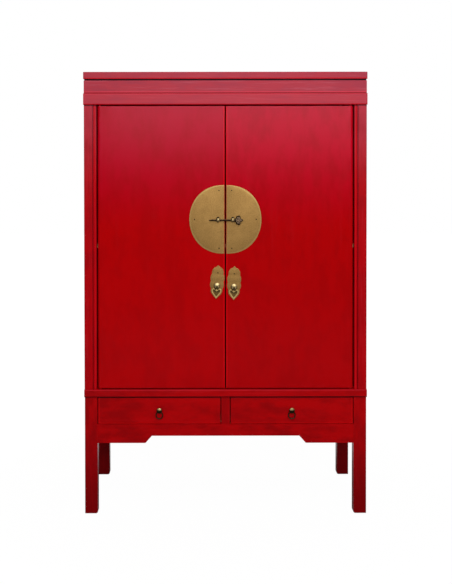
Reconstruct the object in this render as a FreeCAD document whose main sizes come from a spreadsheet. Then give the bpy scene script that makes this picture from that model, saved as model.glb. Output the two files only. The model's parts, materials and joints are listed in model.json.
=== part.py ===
import FreeCAD, Part
import os
import re
import Sketcher

# A wedding cabinet: a tall cupboard with two doors on a base with two drawers.
# Millimetres, Z up, the front facing -Y. The origin is on the floor, under the middle of its box.

Vector = FreeCAD.Vector
PARTS_FOLDER = "parts"

SIZES = {
    # the whole cabinet, from the floor up
    "depth": 540,
    "bracket_underside": 299.4,
    "bracket_drop": 30.6,
    "apron_height": 50,
    "drawer_opening": 116.5,
    "waist_thickness": 31.5,
    "door_opening": 1206,
    "rail_height": 48.4,
    "frieze_height": 54.2,
    "shadow_groove_height": 5,
    "cap_thickness": 31,
    # width over the posts, and how far the other levels stand out or in from it
    "post_span": 1196,
    "cap_side_lip": 2,
    "waist_side_lip": 0.5,
    "leg_inset": 1,
    # cap and cornice
    "cap_lip": 5,
    "cap_arris": 3,
    "rail_depth": 45,
    "rail_lip": 5,
    "rail_arris": 4,
    "frieze_thickness": 22,
    "shadow_groove_depth": 8,
    "shadow_groove_side_depth": 1.5,
    # waist board
    "waist_lip": 8,
    "waist_top_arris": 5,
    "waist_low_arris": 2.5,
    # upper corner posts
    "post_face": 36.5,
    "bead_groove": 3.8,
    "bead_groove_depth": 6,
    "bead_width": 12.1,
    "bead_setback": 2,
    "bead_crown": 2.4,
    "post_depth": 50,
    "post_arris": 2,
    "tenon_side": 22,
    "tenon_length": 12,
    "tenon_play": 0.2,
    "tenon_end_play": 0.5,
    # panels between the posts
    "panel_groove": 10,
    "panel_play": 0.1,
    "side_panel_inset": 12,
    "side_panel_thickness": 10,
    "back_panel_inset": 10,
    "back_panel_thickness": 8,
    # shelf and its cleats
    "shelf_rise": 599,
    "shelf_thickness": 16,
    "shelf_play": 0.5,
    "shelf_door_gap": 1,
    "cleat_width": 18,
    "cleat_height": 24,
    # legs
    "leg_width": 53.5,
    "leg_depth": 47,
    "foot_cut_width": 5,
    "foot_cut_height": 4,
    "leg_arris": 2,
    # boards of the base
    "apron_recess": 0.8,
    "apron_thickness": 22,
    "bracket_length": 203.1,
    "bracket_run": 27.5,
    "side_board_inset": 10,
    "side_board_thickness": 18,
    "side_bracket_length": 90,
    "base_back_inset": 8,
    "base_back_thickness": 12,
    # drawer divider, partition and runners
    "divider_width": 37,
    "partition_thickness": 16,
    "runner_thickness": 20,
    "runner_ledge": 21,
    "guide_height": 30,
    "runner_play": 0.3,
    "guide_play": 0.5,
    # doors
    "door_side_gap": 4.6,
    "door_meeting_gap": 4,
    "door_gap_below": 4.5,
    "door_gap_above": 5.4,
    "door_recess": 6,
    "door_thickness": 20,
    "door_arris": 2,
    "pivot_radius": 6,
    "pivot_engagement": 10,
    "pivot_play": 0.05,
    "batten_width": 60,
    "batten_thickness": 18,
    "batten_hinge_margin": 60,
    "batten_edge_margin": 40,
    "batten_end_margin": 150,
    # lock plates and their nails
    "plate_thickness": 2,
    "plate_bevel": 1.2,
    "plate_edge": 4.4,
    "plate_half_height": 146.8,
    "plate_crown": 149.7,
    "lock_rise": 716.4,
    "nail_spread": 27,
    "nail_throw": 122.5,
    "nail_reach": 131,
    "nail_head_radius": 2.7,
    "nail_head_height": 1,
    "nail_shank_radius": 1,
    "nail_length": 12,
    "nail_play": 0.1,
    # lock eyes and pin
    "eye_x": 31,
    "eye_radius": 11.5,
    "eye_hole_radius": 6.2,
    "eye_width": 11.5,
    "eye_crown": 3.5,
    "eye_stand": 9.5,
    "shank_radius": 2.5,
    "shank_length": 15,
    "shank_play": 0.1,
    "pin_radius": 3,
    "pin_play": 0.05,
    "pin_tip_radius": 1.6,
    "pin_tip_length": 11,
    "pin_left_reach": 69,
    "pin_collar_radius": 4.6,
    "pin_collar_length": 3,
    "pin_collar_gap": 0.55,
    "pin_head_length": 38.9,
    "pin_head_thickness": 8,
    "pin_lobe_radius": 9.6,
    "pin_lobe_offset": 8.7,
    "pin_heel_radius": 7,
    "pin_point_half_height": 9,
    # door pulls
    "pull_plate_length": 142,
    "pull_plate_width": 60.4,
    "pull_plate_thickness": 1.6,
    "left_pull_x": 34.8,
    "left_pull_rise": 452.8,
    "left_pull_lean": 4.6,
    "right_pull_x": 36.7,
    "right_pull_rise": 448.3,
    "right_pull_lean": 1.9,
    "pull_nail_rise": 37.5,
    "boss_drop": 16.1,
    "boss_radius": 12.8,
    "boss_rose_radius": 8,
    "boss_rose_thickness": 1,
    "boss_neck_radius": 5.8,
    "boss_neck_length": 7.5,
    "boss_rim_stand": 11,
    "boss_stand": 15,
    "boss_hole_radius": 3.3,
    "boss_hole_drop": 4.6,
    "boss_hole_depth": 5.5,
    "boss_ear_width": 2,
    "boss_ear_wall": 1.2,
    "boss_slot_rise": 0.8,
    "pull_pivot_drop": 15,
    "pull_pivot_stand": 4,
    "pull_pivot_radius": 1.2,
    "pull_pivot_play": 0.08,
    "knuckle_radius": 2.4,
    "knuckle_width": 6.4,
    "knuckle_side_play": 0.6,
    "heart_half_width": 21,
    "heart_length": 43,
    "heart_thickness": 3.2,
    # drawers
    "drawer_recess": 0.8,
    "drawer_side_gap": 2.5,
    "drawer_divider_gap": 2,
    "drawer_gap_below": 1.2,
    "drawer_gap_above": 2.5,
    "drawer_front_thickness": 20,
    "drawer_arris": 1.5,
    "drawer_back_room": 79.2,
    "drawer_side_height": 95,
    "drawer_side_thickness": 12,
    "drawer_back_thickness": 12,
    "drawer_bottom_thickness": 5,
    "drawer_bottom_rise": 8,
    "drawer_groove_depth": 4,
    "drawer_groove_play": 0.1,
    # drawer knobs and rings
    "knob_rise": 2,
    "knob_radius": 11.6,
    "knob_rose_radius": 8,
    "knob_rose_thickness": 1,
    "knob_neck_radius": 4,
    "knob_neck_length": 9,
    "knob_rim_stand": 12,
    "knob_stand": 15,
    "knob_ear_width": 6,
    "knob_ear_wall": 1.6,
    "ring_drop": 6.9,
    "ring_stand": 5,
    "ring_radius": 15.2,
    "ring_wire_radius": 2.35,
    "ring_play": 0.55,
    # one overrun serves all cuts
    "overrun": 2,
}

# Places that follow from the sizes, each built only from sizes and the places above it.
LEVELS = {
    "front": "(eye_stand + eye_radius + plate_thickness - door_recess - depth) / 2",
    "back": "front + depth",
    "post_outer": "post_span / 2",
    "cap_half": "post_outer + cap_side_lip",
    "waist_half": "post_outer + waist_side_lip",
    "leg_outer": "post_outer - leg_inset",
    "leg_inner": "leg_outer - leg_width",
    "post_width": "post_face + bead_groove + bead_width",
    "post_inner": "post_outer - post_width",
    "apron_underside": "bracket_underside + bracket_drop",
    "drawer_floor": "apron_underside + apron_height",
    "waist_underside": "drawer_floor + drawer_opening",
    "waist_top": "waist_underside + waist_thickness",
    "rail_underside": "waist_top + door_opening",
    "cornice_height": "rail_height + frieze_height + shadow_groove_height",
    "cap_underside": "rail_underside + cornice_height",
    "panel_face": "post_outer - side_panel_inset - side_panel_thickness",
    "back_panel_near": "back - back_panel_inset - back_panel_thickness",
    "door_outer": "post_inner - door_side_gap",
    "door_inner": "door_meeting_gap / 2",
    "door_width": "door_outer - door_inner",
    "door_front": "front + door_recess",
    "door_back": "door_front + door_thickness",
    "door_bottom": "waist_top + door_gap_below",
    "door_height": "door_opening - door_gap_below - door_gap_above",
    "pivot_x": "door_outer - door_thickness / 2",
    "pivot_y": "door_front + door_thickness / 2",
    "plate_front": "door_front - plate_thickness",
    "pull_front": "door_front - pull_plate_thickness",
    "boss_slot_half": "knuckle_width / 2 + knuckle_side_play",
    "lock_z": "door_bottom + lock_rise",
    "eye_y": "plate_front - eye_stand",
    "pin_z": "lock_z - eye_hole_radius + pin_radius + pin_play",
    "collar_start": "eye_x + eye_width / 2 + pin_collar_gap",
    "pin_head_start": "collar_start + pin_collar_length / 2",
    "shelf_low": "waist_top + shelf_rise",
    "shelf_near": "door_back + shelf_door_gap",
    "apron_front": "front + apron_recess",
    "apron_back": "apron_front + apron_thickness",
    "side_board_face": "leg_outer - side_board_inset - side_board_thickness",
    "base_back_near": "back - base_back_inset - base_back_thickness",
    "divider_half": "divider_width / 2",
    "drawer_outer": "leg_inner - drawer_side_gap",
    "drawer_inner": "divider_half + drawer_divider_gap",
    "drawer_face": "front + drawer_recess",
    "drawer_behind": "drawer_face + drawer_front_thickness",
    "drawer_end": "base_back_near - drawer_back_room",
    "drawer_low": "drawer_floor + drawer_gap_below",
    "drawer_height": "drawer_opening - drawer_gap_below - drawer_gap_above",
    "runner_top": "drawer_low - runner_play",
    "guide_top": "runner_top + guide_height",
    "bottom_low": "drawer_low + drawer_bottom_rise",
    "knob_x": "(drawer_outer + drawer_inner) / 2",
    "knob_z": "drawer_low + drawer_height / 2 + knob_rise",
    "ring_z": "knob_z - ring_drop",
    "ring_hole_radius": "ring_wire_radius + ring_play",
}

# Half of the pull plate's outline, from its top point down to its bottom point:
# across as a share of half its width, down as a share of its length, and the
# crown of the edge that leaves the point as a share of half its width.
PULL_OUTLINE_SHARES = [
    (0.000, 0.000, -0.030),
    (0.290, 0.060, 0.150),
    (0.830, 0.220, 0.010),
    (0.830, 0.275, 0.145),
    (0.895, 0.500, 0.145),
    (0.810, 0.715, 0.065),
    (0.700, 0.862, 0.010),
    (0.280, 0.962, -0.015),
    (0.000, 1.000, 0.000),
]

# Half of the heart's outer edge, from its neck over the lobe and down to its point, and
# half of its opening, from the cleft: across as a share of half its width, down as a
# share of its length below the pivot, and the crown as a share of half its width.
HEART_EDGE_SHARES = [
    (0.152, 0.000, 0.000),
    (0.152, 0.093, 0.000),
    (0.314, 0.075, 0.048),
    (0.571, -0.072, 0.152),
    (1.000, 0.182, 0.040),
    (0.819, 0.440, 0.000),
    (0.000, 1.000, 0.000),
]
HEART_OPENING_SHARES = [
    (0.000, 0.279, 0.020),
    (0.548, 0.047, 0.067),
    (0.724, 0.186, 0.030),
    (0.571, 0.390, 0.000),
    (0.000, 0.722, 0.000),
]

doc = FreeCAD.newDocument("wedding_cabinet")
sheet = doc.addObject("Spreadsheet::Sheet", "sizes")
for row, (alias, size) in enumerate(SIZES.items(), start=1):
    sheet.set(f"A{row}", alias.replace("_", " "))
    sheet.set(f"B{row}", str(size))
    sheet.setAlias(f"B{row}", alias)
doc.recompute()
levels = doc.addObject("App::VarSet", "levels")
HOME = {alias: "sizes." for alias in SIZES}
kept = []


def tied(text):
    """The text as an expression, with each size and level looked up in its table."""
    return re.sub(r"[a-z][a-z_]*", lambda found: HOME.get(found.group(), "") + found.group(), text)


for name, text in LEVELS.items():
    levels.addProperty("App::PropertyFloat", name, "Levels")
    levels.setExpression(name, tied(text))
    HOME[name] = "levels."
doc.recompute()


def value(text):
    """The number that a text of sizes comes to."""
    return sheet.evalExpression(tied(text))


def tie(thing, path, text):
    """Bind one property or constraint to a text of sizes."""
    thing.setExpression(path, tied(text))


def place(thing, x, y, z):
    """Bind a thing's place to three texts of sizes."""
    for axis, text in (("x", x), ("y", y), ("z", z)):
        tie(thing, "Placement.Base." + axis, text)


def keep(thing):
    """Count a thing among the cabinet's pieces."""
    doc.recompute()
    kept.append(thing)
    return thing


def mirrored(source):
    """The right-hand twin of a left-hand piece."""
    twin = doc.addObject("Part::Mirroring", source.Label.replace("left_", "right_"))
    twin.Source = source
    twin.Normal = Vector(1, 0, 0)
    return keep(twin)


def new_body(name, x="0", y="0", z="0", lean=None):
    """An empty body at its place, leaned about the Y axis if asked."""
    body = doc.addObject("PartDesign::Body", name)
    if lean:
        body.Placement = FreeCAD.Placement(Vector(), FreeCAD.Rotation(Vector(0, 1, 0), value(lean)))
        tie(body, "Placement.Rotation.Angle", lean)
    place(body, x, y, z)
    return body


def sketch_on(body, plane, offset=None):
    """A sketch on one of the body's own planes, moved along the plane's normal if asked."""
    sketch = body.newObject("Sketcher::SketchObject", body.Label + "_outline")
    support = next(part for part in body.Origin.OriginFeatures if part.Role == plane)
    sketch.AttachmentSupport = [(support, "")]
    sketch.MapMode = "FlatFace"
    if offset:
        tie(sketch, "AttachmentOffset.Base.z", offset)
    return sketch


def pin_point(sketch, edge, point, x, y):
    """Tie a point of a sketch to its distances from the sketch's origin."""
    for kind, axis, text in (("DistanceX", -2, x), ("DistanceY", -1, y)):
        if text == "0":
            sketch.addConstraint(Sketcher.Constraint("PointOnObject", edge, point, axis))
            continue
        index = sketch.addConstraint(Sketcher.Constraint(kind, -1, 1, edge, point, value(text)))
        tie(sketch, f"Constraints[{index}]", text)


def outline(sketch, corners):
    """Close a loop through corners (x, y) or (x, y, crown), the crown of the arc that follows.

    The loop runs anticlockwise, and a positive crown bulges outwards.
    """
    spots = [Vector(value(corner[0]), value(corner[1]), 0) for corner in corners]
    first = sketch.GeometryCount
    count = len(corners)
    ends = []
    for index, corner in enumerate(corners):
        start, end = spots[index], spots[(index + 1) % count]
        if len(corner) == 2:
            edge = sketch.addGeometry(Part.LineSegment(start, end), False)
        else:
            along = end - start
            outward = Vector(along.y, -along.x, 0).normalize()
            middle = (start + end) / 2 + outward * value(corner[2])
            edge = sketch.addGeometry(Part.Arc(start, middle, end), False)
        forward = (sketch.getPoint(edge, 1) - start).Length < (sketch.getPoint(edge, 2) - start).Length
        ends.append((1, 2) if forward else (2, 1))
    for index, corner in enumerate(corners):
        following = (index + 1) % count
        sketch.addConstraint(
            Sketcher.Constraint(
                "Coincident", first + index, ends[index][1], first + following, ends[following][0]
            )
        )
        pin_point(sketch, first + index, ends[index][0], corner[0], corner[1])
        if len(corner) == 3:
            x, y, crown = corner
            end_x, end_y = corners[following][:2]
            chord = f"((({end_x}) - ({x}))^2 + (({end_y}) - ({y}))^2)"
            radius = f"abs(({chord} / 4 + ({crown})^2) / (2 * ({crown})))"
            bend = sketch.addConstraint(Sketcher.Constraint("Radius", first + index, value(radius)))
            tie(sketch, f"Constraints[{bend}]", radius)


def rectangle(sketch, left, right, low, high):
    """A loop between two distances each way."""
    outline(sketch, [(left, low), (right, low), (right, high), (left, high)])


def circle(sketch, x, y, radius):
    """A full circle about a tied centre."""
    edge = sketch.addGeometry(
        Part.Circle(Vector(value(x), value(y), 0), Vector(0, 0, 1), value(radius)), False
    )
    bend = sketch.addConstraint(Sketcher.Constraint("Radius", edge, value(radius)))
    tie(sketch, f"Constraints[{bend}]", radius)
    pin_point(sketch, edge, 3, x, y)


def pad(body, sketch, length, reverse=False, both_ways=False):
    """Thicken a sketch along its normal, against it, or half each way."""
    feature = body.newObject("PartDesign::Pad", body.Label + "_pad")
    feature.Profile = sketch
    feature.Reversed = reverse
    feature.SideType = "Symmetric" if both_ways else "One side"
    tie(feature, "Length", length)
    return feature


def pocket(body, sketch, length=None, reverse=False):
    """Cut a sketch into the body to a depth, or both ways right through."""
    doc.recompute()
    before = body.Shape.Volume
    feature = body.newObject("PartDesign::Pocket", body.Label + "_pocket")
    feature.Profile = sketch
    feature.Reversed = reverse
    if length:
        tie(feature, "Length", length)
    else:
        feature.Type = "ThroughAll"
        feature.SideType = "Symmetric"
    doc.recompute()
    if body.Shape.Volume >= before:
        raise RuntimeError(f"the pocket in {body.Label} cuts nothing")
    return feature


def turn(body, sketch, axis):
    """Turn a sketch right round one of its own axes."""
    feature = body.newObject("PartDesign::Revolution", body.Label + "_turned")
    feature.Profile = sketch
    feature.ReferenceAxis = (sketch, [axis])
    feature.Angle = 360
    return feature


def soften(body, radius, chosen, kind="Fillet"):
    """Round or bevel the edges of the body whose middle and direction pass the test."""
    doc.recompute()
    base = body.Tip
    names = []
    for index, edge in enumerate(base.Shape.Edges, start=1):
        middle = edge.CenterOfMass
        across = edge.Vertexes[-1].Point - edge.Vertexes[0].Point
        if chosen(middle, across):
            names.append(f"Edge{index}")
    feature = body.newObject("PartDesign::" + kind, body.Label + "_" + kind.lower())
    feature.Base = (base, names)
    tie(feature, "Radius" if kind == "Fillet" else "Size", radius)
    return feature


def near(one, other):
    """Whether two lengths are the same to within a hair."""
    hair = value("overrun / 1000")
    return abs(one - other) < hair


def board(name, left, right, front, back, low, high, arris=None):
    """A straight board between two planes each way, its edges rounded if asked."""
    body = new_body(name, left, front, low)
    plan = sketch_on(body, "XY_Plane")
    rectangle(plan, "0", f"{right} - ({left})", "0", f"{back} - ({front})")
    pad(body, plan, f"{high} - ({low})")
    if arris:
        soften(body, arris, lambda middle, across: True)
    return keep(body)


def block(name, left, right, front, back, low, high):
    """A plain box between two planes each way, used in a cut."""
    box = doc.addObject("Part::Box", name)
    tie(box, "Length", f"{right} - ({left})")
    tie(box, "Width", f"{back} - ({front})")
    tie(box, "Height", f"{high} - ({low})")
    place(box, left, front, low)
    return box


def add_tenon(body, x, y, offset, reverse=False):
    """A square stub tenon on a post or leg, centred at x and y."""
    plan = sketch_on(body, "XY_Plane", offset)
    half = "tenon_side / 2"
    rectangle(plan, f"{x} - {half}", f"{x} + {half}", f"{y} - {half}", f"{y} + {half}")
    pad(body, plan, "tenon_length", reverse)


def cut_mortises(body, centres, offset=None, from_below=False):
    """Square mortises for stub tenons, each with a little play."""
    plan = sketch_on(body, "XY_Plane", offset)
    half = "(tenon_side / 2 + tenon_play)"
    for x, y in centres:
        rectangle(plan, f"{x} - {half}", f"{x} + {half}", f"{y} - {half}", f"{y} + {half}")
    pocket(body, plan, "tenon_length + tenon_end_play", reverse=from_below)


def cut_pivot_holes(body, offset=None, from_below=False):
    """The two round holes in which the doors' pivots turn."""
    plan = sketch_on(body, "XY_Plane", offset)
    for side in ("-1", "1"):
        circle(plan, f"{side} * pivot_x", "pivot_y - front", "pivot_radius + pivot_play")
    pocket(body, plan, "pivot_engagement + tenon_end_play", reverse=from_below)


POST_TENON_X = "(post_outer - post_width / 2)"
POST_CENTRES = [
    (f"{side} * {POST_TENON_X}", y)
    for side in ("-1", "1")
    for y in ("post_depth / 2", "(depth - post_depth / 2)")
]
LEG_CENTRES = [
    (f"{side} * (leg_outer - leg_width / 2)", y)
    for side in ("-1", "1")
    for y in ("leg_depth / 2", "(depth - leg_depth / 2)")
]


def make_top_board():
    body = new_body("top_board", "0", "front", "cap_underside")
    plan = sketch_on(body, "XY_Plane")
    rectangle(plan, "-cap_half", "cap_half", "-cap_lip", "depth")
    pad(body, plan, "cap_thickness")
    soften(body, "cap_arris", lambda middle, across: not near(middle.y, value("depth")))
    keep(body)


def make_cornice_front_and_back():
    """Each is a rail with the frieze and the neck of the shadow groove standing on it."""
    rows = [
        ("front_cornice", "-rail_lip", "rail_depth - rail_lip", "0", "frieze_thickness",
         "shadow_groove_depth", "frieze_thickness", "post_depth / 2"),
        ("back_cornice", "depth - rail_depth", "depth", "depth - frieze_thickness", "depth",
         "depth - frieze_thickness", "depth", "depth - post_depth / 2"),
    ]
    for name, rail_near, rail_far, frieze_near, frieze_far, neck_near, neck_far, tenon_y in rows:
        body = new_body(name, "0", "front", "rail_underside")
        plan = sketch_on(body, "XY_Plane")
        rectangle(plan, "-cap_half", "cap_half", rail_near, rail_far)
        pad(body, plan, "rail_height")
        plan = sketch_on(body, "XY_Plane", "rail_height")
        rectangle(plan, "-post_outer", "post_outer", frieze_near, frieze_far)
        pad(body, plan, "frieze_height")
        plan = sketch_on(body, "XY_Plane", "rail_height + frieze_height")
        neck_half = "(post_outer - shadow_groove_side_depth)"
        rectangle(plan, f"-{neck_half}", neck_half, neck_near, neck_far)
        pad(body, plan, "shadow_groove_height")
        cut_mortises(body, [(f"{side} * {POST_TENON_X}", f"({tenon_y})") for side in ("-1", "1")],
                     from_below=True)
        if name == "front_cornice":
            cut_pivot_holes(body, from_below=True)
            lip = value("-rail_lip")
            soften(body, "rail_arris",
                   lambda middle, across: near(middle.y, lip) and abs(across.x) > abs(across.z))
        keep(body)


def make_cornice_sides():
    """The side cornices stand between the front and the back one."""
    body = new_body("left_cornice", "0", "front", "rail_underside")
    plan = sketch_on(body, "XY_Plane")
    rectangle(plan, "-cap_half", "rail_depth - cap_half", "rail_depth - rail_lip", "depth - rail_depth")
    pad(body, plan, "rail_height")
    plan = sketch_on(body, "XY_Plane", "rail_height")
    inner = "frieze_thickness - post_outer"
    rectangle(plan, "-post_outer", inner, "frieze_thickness", "depth - frieze_thickness")
    pad(body, plan, "frieze_height")
    plan = sketch_on(body, "XY_Plane", "rail_height + frieze_height")
    neck = "shadow_groove_side_depth - post_outer"
    rectangle(plan, neck, inner, "frieze_thickness", "depth - frieze_thickness")
    pad(body, plan, "shadow_groove_height")
    lip = value("-cap_half")
    soften(body, "cap_side_lip / 2",
           lambda middle, across: near(middle.x, lip) and abs(across.y) > abs(across.z))
    mirrored(keep(body))


def make_front_post():
    """The left front post, with a groove and a bead on its inner edge."""
    body = new_body("left_front_post", "-post_outer", "front", "waist_top")
    plan = sketch_on(body, "XY_Plane")
    slot_near = "post_depth - panel_groove"
    slot_left = "side_panel_inset - panel_play"
    slot_right = "side_panel_inset + side_panel_thickness + panel_play"
    bead_start = "post_face + bead_groove"
    bead_edge = "bead_setback + bead_crown"
    outline(plan, [
        ("0", "0"),
        ("post_face", "0"),
        ("post_face", "bead_groove_depth"),
        (bead_start, "bead_groove_depth"),
        (bead_start, bead_edge, "bead_crown"),
        ("post_width", bead_edge),
        ("post_width", "post_depth"),
        (slot_right, "post_depth"),
        (slot_right, slot_near),
        (slot_left, slot_near),
        (slot_left, "post_depth"),
        ("0", "post_depth"),
    ])
    pad(body, plan, "door_opening")
    add_tenon(body, "post_width / 2", "post_depth / 2", None, reverse=True)
    add_tenon(body, "post_width / 2", "post_depth / 2", "door_opening")
    soften(body, "post_arris",
           lambda middle, across: near(middle.x, 0) and near(middle.y, 0) and abs(across.z) > 0)
    mirrored(keep(body))


def make_back_post():
    """The left back post, grooved for the side panel and the back panel."""
    body = new_body("left_back_post", "-post_outer", "back - post_depth", "waist_top")
    plan = sketch_on(body, "XY_Plane")
    slot_left = "side_panel_inset - panel_play"
    slot_right = "side_panel_inset + side_panel_thickness + panel_play"
    back_far = "post_depth - back_panel_inset + panel_play"
    back_near = "post_depth - back_panel_inset - back_panel_thickness - panel_play"
    outline(plan, [
        ("0", "0"),
        (slot_left, "0"),
        (slot_left, "panel_groove"),
        (slot_right, "panel_groove"),
        (slot_right, "0"),
        ("post_width", "0"),
        ("post_width", back_near),
        ("post_width - panel_groove", back_near),
        ("post_width - panel_groove", back_far),
        ("post_width", back_far),
        ("post_width", "post_depth"),
        ("0", "post_depth"),
    ])
    pad(body, plan, "door_opening")
    add_tenon(body, "post_width / 2", "post_depth / 2", None, reverse=True)
    add_tenon(body, "post_width / 2", "post_depth / 2", "door_opening")
    mirrored(keep(body))


def make_panels():
    """The side panels and the back panel, which stand in the posts' grooves."""
    end = "(post_depth - panel_groove + tenon_end_play)"
    left = board("left_side_panel", "side_panel_inset - post_outer", "-panel_face",
                 f"front + {end}", f"back - {end}", "waist_top", "rail_underside")
    mirrored(left)
    reach = "(post_inner + panel_groove - tenon_end_play)"
    board("back_panel", f"-{reach}", reach, "back_panel_near",
          "back_panel_near + back_panel_thickness", "waist_top", "rail_underside")


def make_waist_board():
    body = new_body("waist_board", "0", "front", "waist_underside")
    plan = sketch_on(body, "XY_Plane")
    rectangle(plan, "-waist_half", "waist_half", "-waist_lip", "depth")
    pad(body, plan, "waist_thickness")
    lip, top = value("-waist_lip"), value("waist_thickness")
    soften(body, "waist_top_arris", lambda middle, across: near(middle.y, lip) and near(middle.z, top))
    soften(body, "waist_low_arris", lambda middle, across: near(middle.y, lip) and near(middle.z, 0))
    cut_mortises(body, POST_CENTRES, "waist_thickness")
    cut_mortises(body, LEG_CENTRES, from_below=True)
    cut_pivot_holes(body, "waist_thickness")
    keep(body)


def make_shelf():
    """The shelf, notched round the posts, and the cleats that carry it."""
    body = new_body("shelf", "0", "front", "shelf_low")
    plan = sketch_on(body, "XY_Plane")
    edge_near = "shelf_near - front"
    edge_far = "back_panel_near - front - shelf_play"
    side = "(panel_face - shelf_play)"
    neck = "(post_inner - shelf_play)"
    notch_near = "post_depth + shelf_play"
    notch_far = "depth - post_depth - shelf_play"
    outline(plan, [
        (f"-{neck}", edge_near),
        (neck, edge_near),
        (neck, notch_near),
        (side, notch_near),
        (side, notch_far),
        (neck, notch_far),
        (neck, edge_far),
        (f"-{neck}", edge_far),
        (f"-{neck}", notch_far),
        (f"-{side}", notch_far),
        (f"-{side}", notch_near),
        (f"-{neck}", notch_near),
    ])
    pad(body, plan, "shelf_thickness")
    keep(body)
    mirrored(board("left_shelf_cleat", "-panel_face", "cleat_width - panel_face", "front + post_depth",
                   "back - post_depth", "shelf_low - cleat_height", "shelf_low", "door_arris"))


def make_legs():
    """The left front and back legs and their twins on the right."""
    for name, y in (("left_front_leg", "front"), ("left_back_leg", "back - leg_depth")):
        body = new_body(name, "-leg_outer", y, "0")
        face = sketch_on(body, "XZ_Plane")
        outline(face, [
            ("0", "0"),
            ("leg_width - foot_cut_width", "0"),
            ("leg_width", "foot_cut_height"),
            ("leg_width", "waist_underside"),
            ("0", "waist_underside"),
        ])
        pad(body, face, "leg_depth", reverse=True)
        add_tenon(body, "leg_width / 2", "leg_depth / 2", "waist_underside")
        outer_y = 0 if name == "left_front_leg" else value("leg_depth")
        soften(body, "leg_arris", lambda middle, across: near(middle.x, 0) and (
            near(middle.z, 0) or near(middle.y, outer_y) and abs(across.z) > abs(across.y)))
        mirrored(keep(body))


def make_apron():
    body = new_body("front_apron", "0", "apron_front", "bracket_underside")
    face = sketch_on(body, "XZ_Plane")
    step = "(leg_inner - bracket_length)"
    rise = "(leg_inner - bracket_length - bracket_run)"
    top = "bracket_drop + apron_height"
    outline(face, [
        ("-leg_inner", "0"),
        (f"-{step}", "0"),
        (f"-{rise}", "bracket_drop"),
        (rise, "bracket_drop"),
        (step, "0"),
        ("leg_inner", "0"),
        ("leg_inner", top),
        ("-leg_inner", top),
    ])
    pad(body, face, "apron_thickness", reverse=True)
    keep(body)


def make_base_boards():
    """The base's side boards, cut like the apron, and its back board."""
    body = new_body("left_base_board", "side_board_inset - leg_outer", "front + leg_depth",
                    "bracket_underside")
    face = sketch_on(body, "YZ_Plane")
    length = "(depth - 2 * leg_depth)"
    step = "side_bracket_length"
    rise = "(side_bracket_length + bracket_run)"
    top = "waist_underside - bracket_underside"
    outline(face, [
        ("0", "0"),
        (step, "0"),
        (rise, "bracket_drop"),
        (f"{length} - {rise}", "bracket_drop"),
        (f"{length} - {step}", "0"),
        (length, "0"),
        (length, top),
        ("0", top),
    ])
    pad(body, face, "side_board_thickness")
    mirrored(keep(body))
    board("base_back_board", "-leg_inner", "leg_inner", "base_back_near",
          "base_back_near + base_back_thickness", "apron_underside", "waist_underside")


def make_divider():
    """The stile between the drawers, with the partition behind it on the centre runner's guide."""
    body = new_body("drawer_divider", "0", "drawer_face", "drawer_floor")
    plan = sketch_on(body, "XY_Plane")
    rectangle(plan, "-divider_half", "divider_half", "0", "apron_thickness")
    pad(body, plan, "drawer_opening")
    lift = "guide_top - drawer_floor"
    plan = sketch_on(body, "XY_Plane", lift)
    half = "partition_thickness / 2"
    rectangle(plan, f"-{half}", half, "apron_thickness", "base_back_near - drawer_face")
    pad(body, plan, f"drawer_opening - ({lift})")
    keep(body)


def make_runners():
    """An angled outer runner each side, and a centre runner with a guide on top."""
    body = new_body("left_runner", "-side_board_face", "front + leg_depth", "runner_top - runner_thickness")
    end = sketch_on(body, "XZ_Plane")
    ledge = "side_board_face - drawer_outer + runner_ledge"
    guide = "side_board_face - drawer_outer - guide_play"
    top = "runner_thickness + guide_height"
    outline(end, [
        ("0", "0"),
        (ledge, "0"),
        (ledge, "runner_thickness"),
        (guide, "runner_thickness"),
        (guide, top),
        ("0", top),
    ])
    pad(body, end, "depth - 2 * leg_depth", reverse=True)
    mirrored(keep(body))
    body = new_body("centre_runner", "0", "apron_back", "runner_top - runner_thickness")
    end = sketch_on(body, "XZ_Plane")
    ledge = "(drawer_inner + runner_ledge)"
    guide = "(drawer_inner - guide_play)"
    outline(end, [
        (f"-{ledge}", "0"),
        (ledge, "0"),
        (ledge, "runner_thickness"),
        (guide, "runner_thickness"),
        (guide, top),
        (f"-{guide}", top),
        (f"-{guide}", "runner_thickness"),
        (f"-{ledge}", "runner_thickness"),
    ])
    pad(body, end, "base_back_near - apron_back", reverse=True)
    keep(body)


def door_hardware(side):
    """The side's sign, and where its pull stands and leans."""
    sign = "-1" if side == "left" else "1"
    pull_x = f"({sign} * {side}_pull_x)"
    pull_z = f"(door_bottom + {side}_pull_rise)"
    return sign, pull_x, pull_z, f"{side}_pull_lean"


def leaned(x, z, rise, lean):
    """A point at a height above (x, z) along an axis that leans to the right."""
    return f"({x} + ({rise}) * sin({lean} * 1deg))", f"({z} + ({rise}) * cos({lean} * 1deg))"


def nail_places(side):
    """The three nails of the lock plate and the one of the pull plate."""
    sign, pull_x, pull_z, lean = door_hardware(side)
    places = [
        (f"({sign} * nail_spread)", "(lock_z + nail_throw)"),
        (f"({sign} * nail_spread)", "(lock_z - nail_throw)"),
        (f"({sign} * nail_reach)", "lock_z"),
    ]
    return places, leaned(pull_x, pull_z, "pull_nail_rise", lean)


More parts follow.
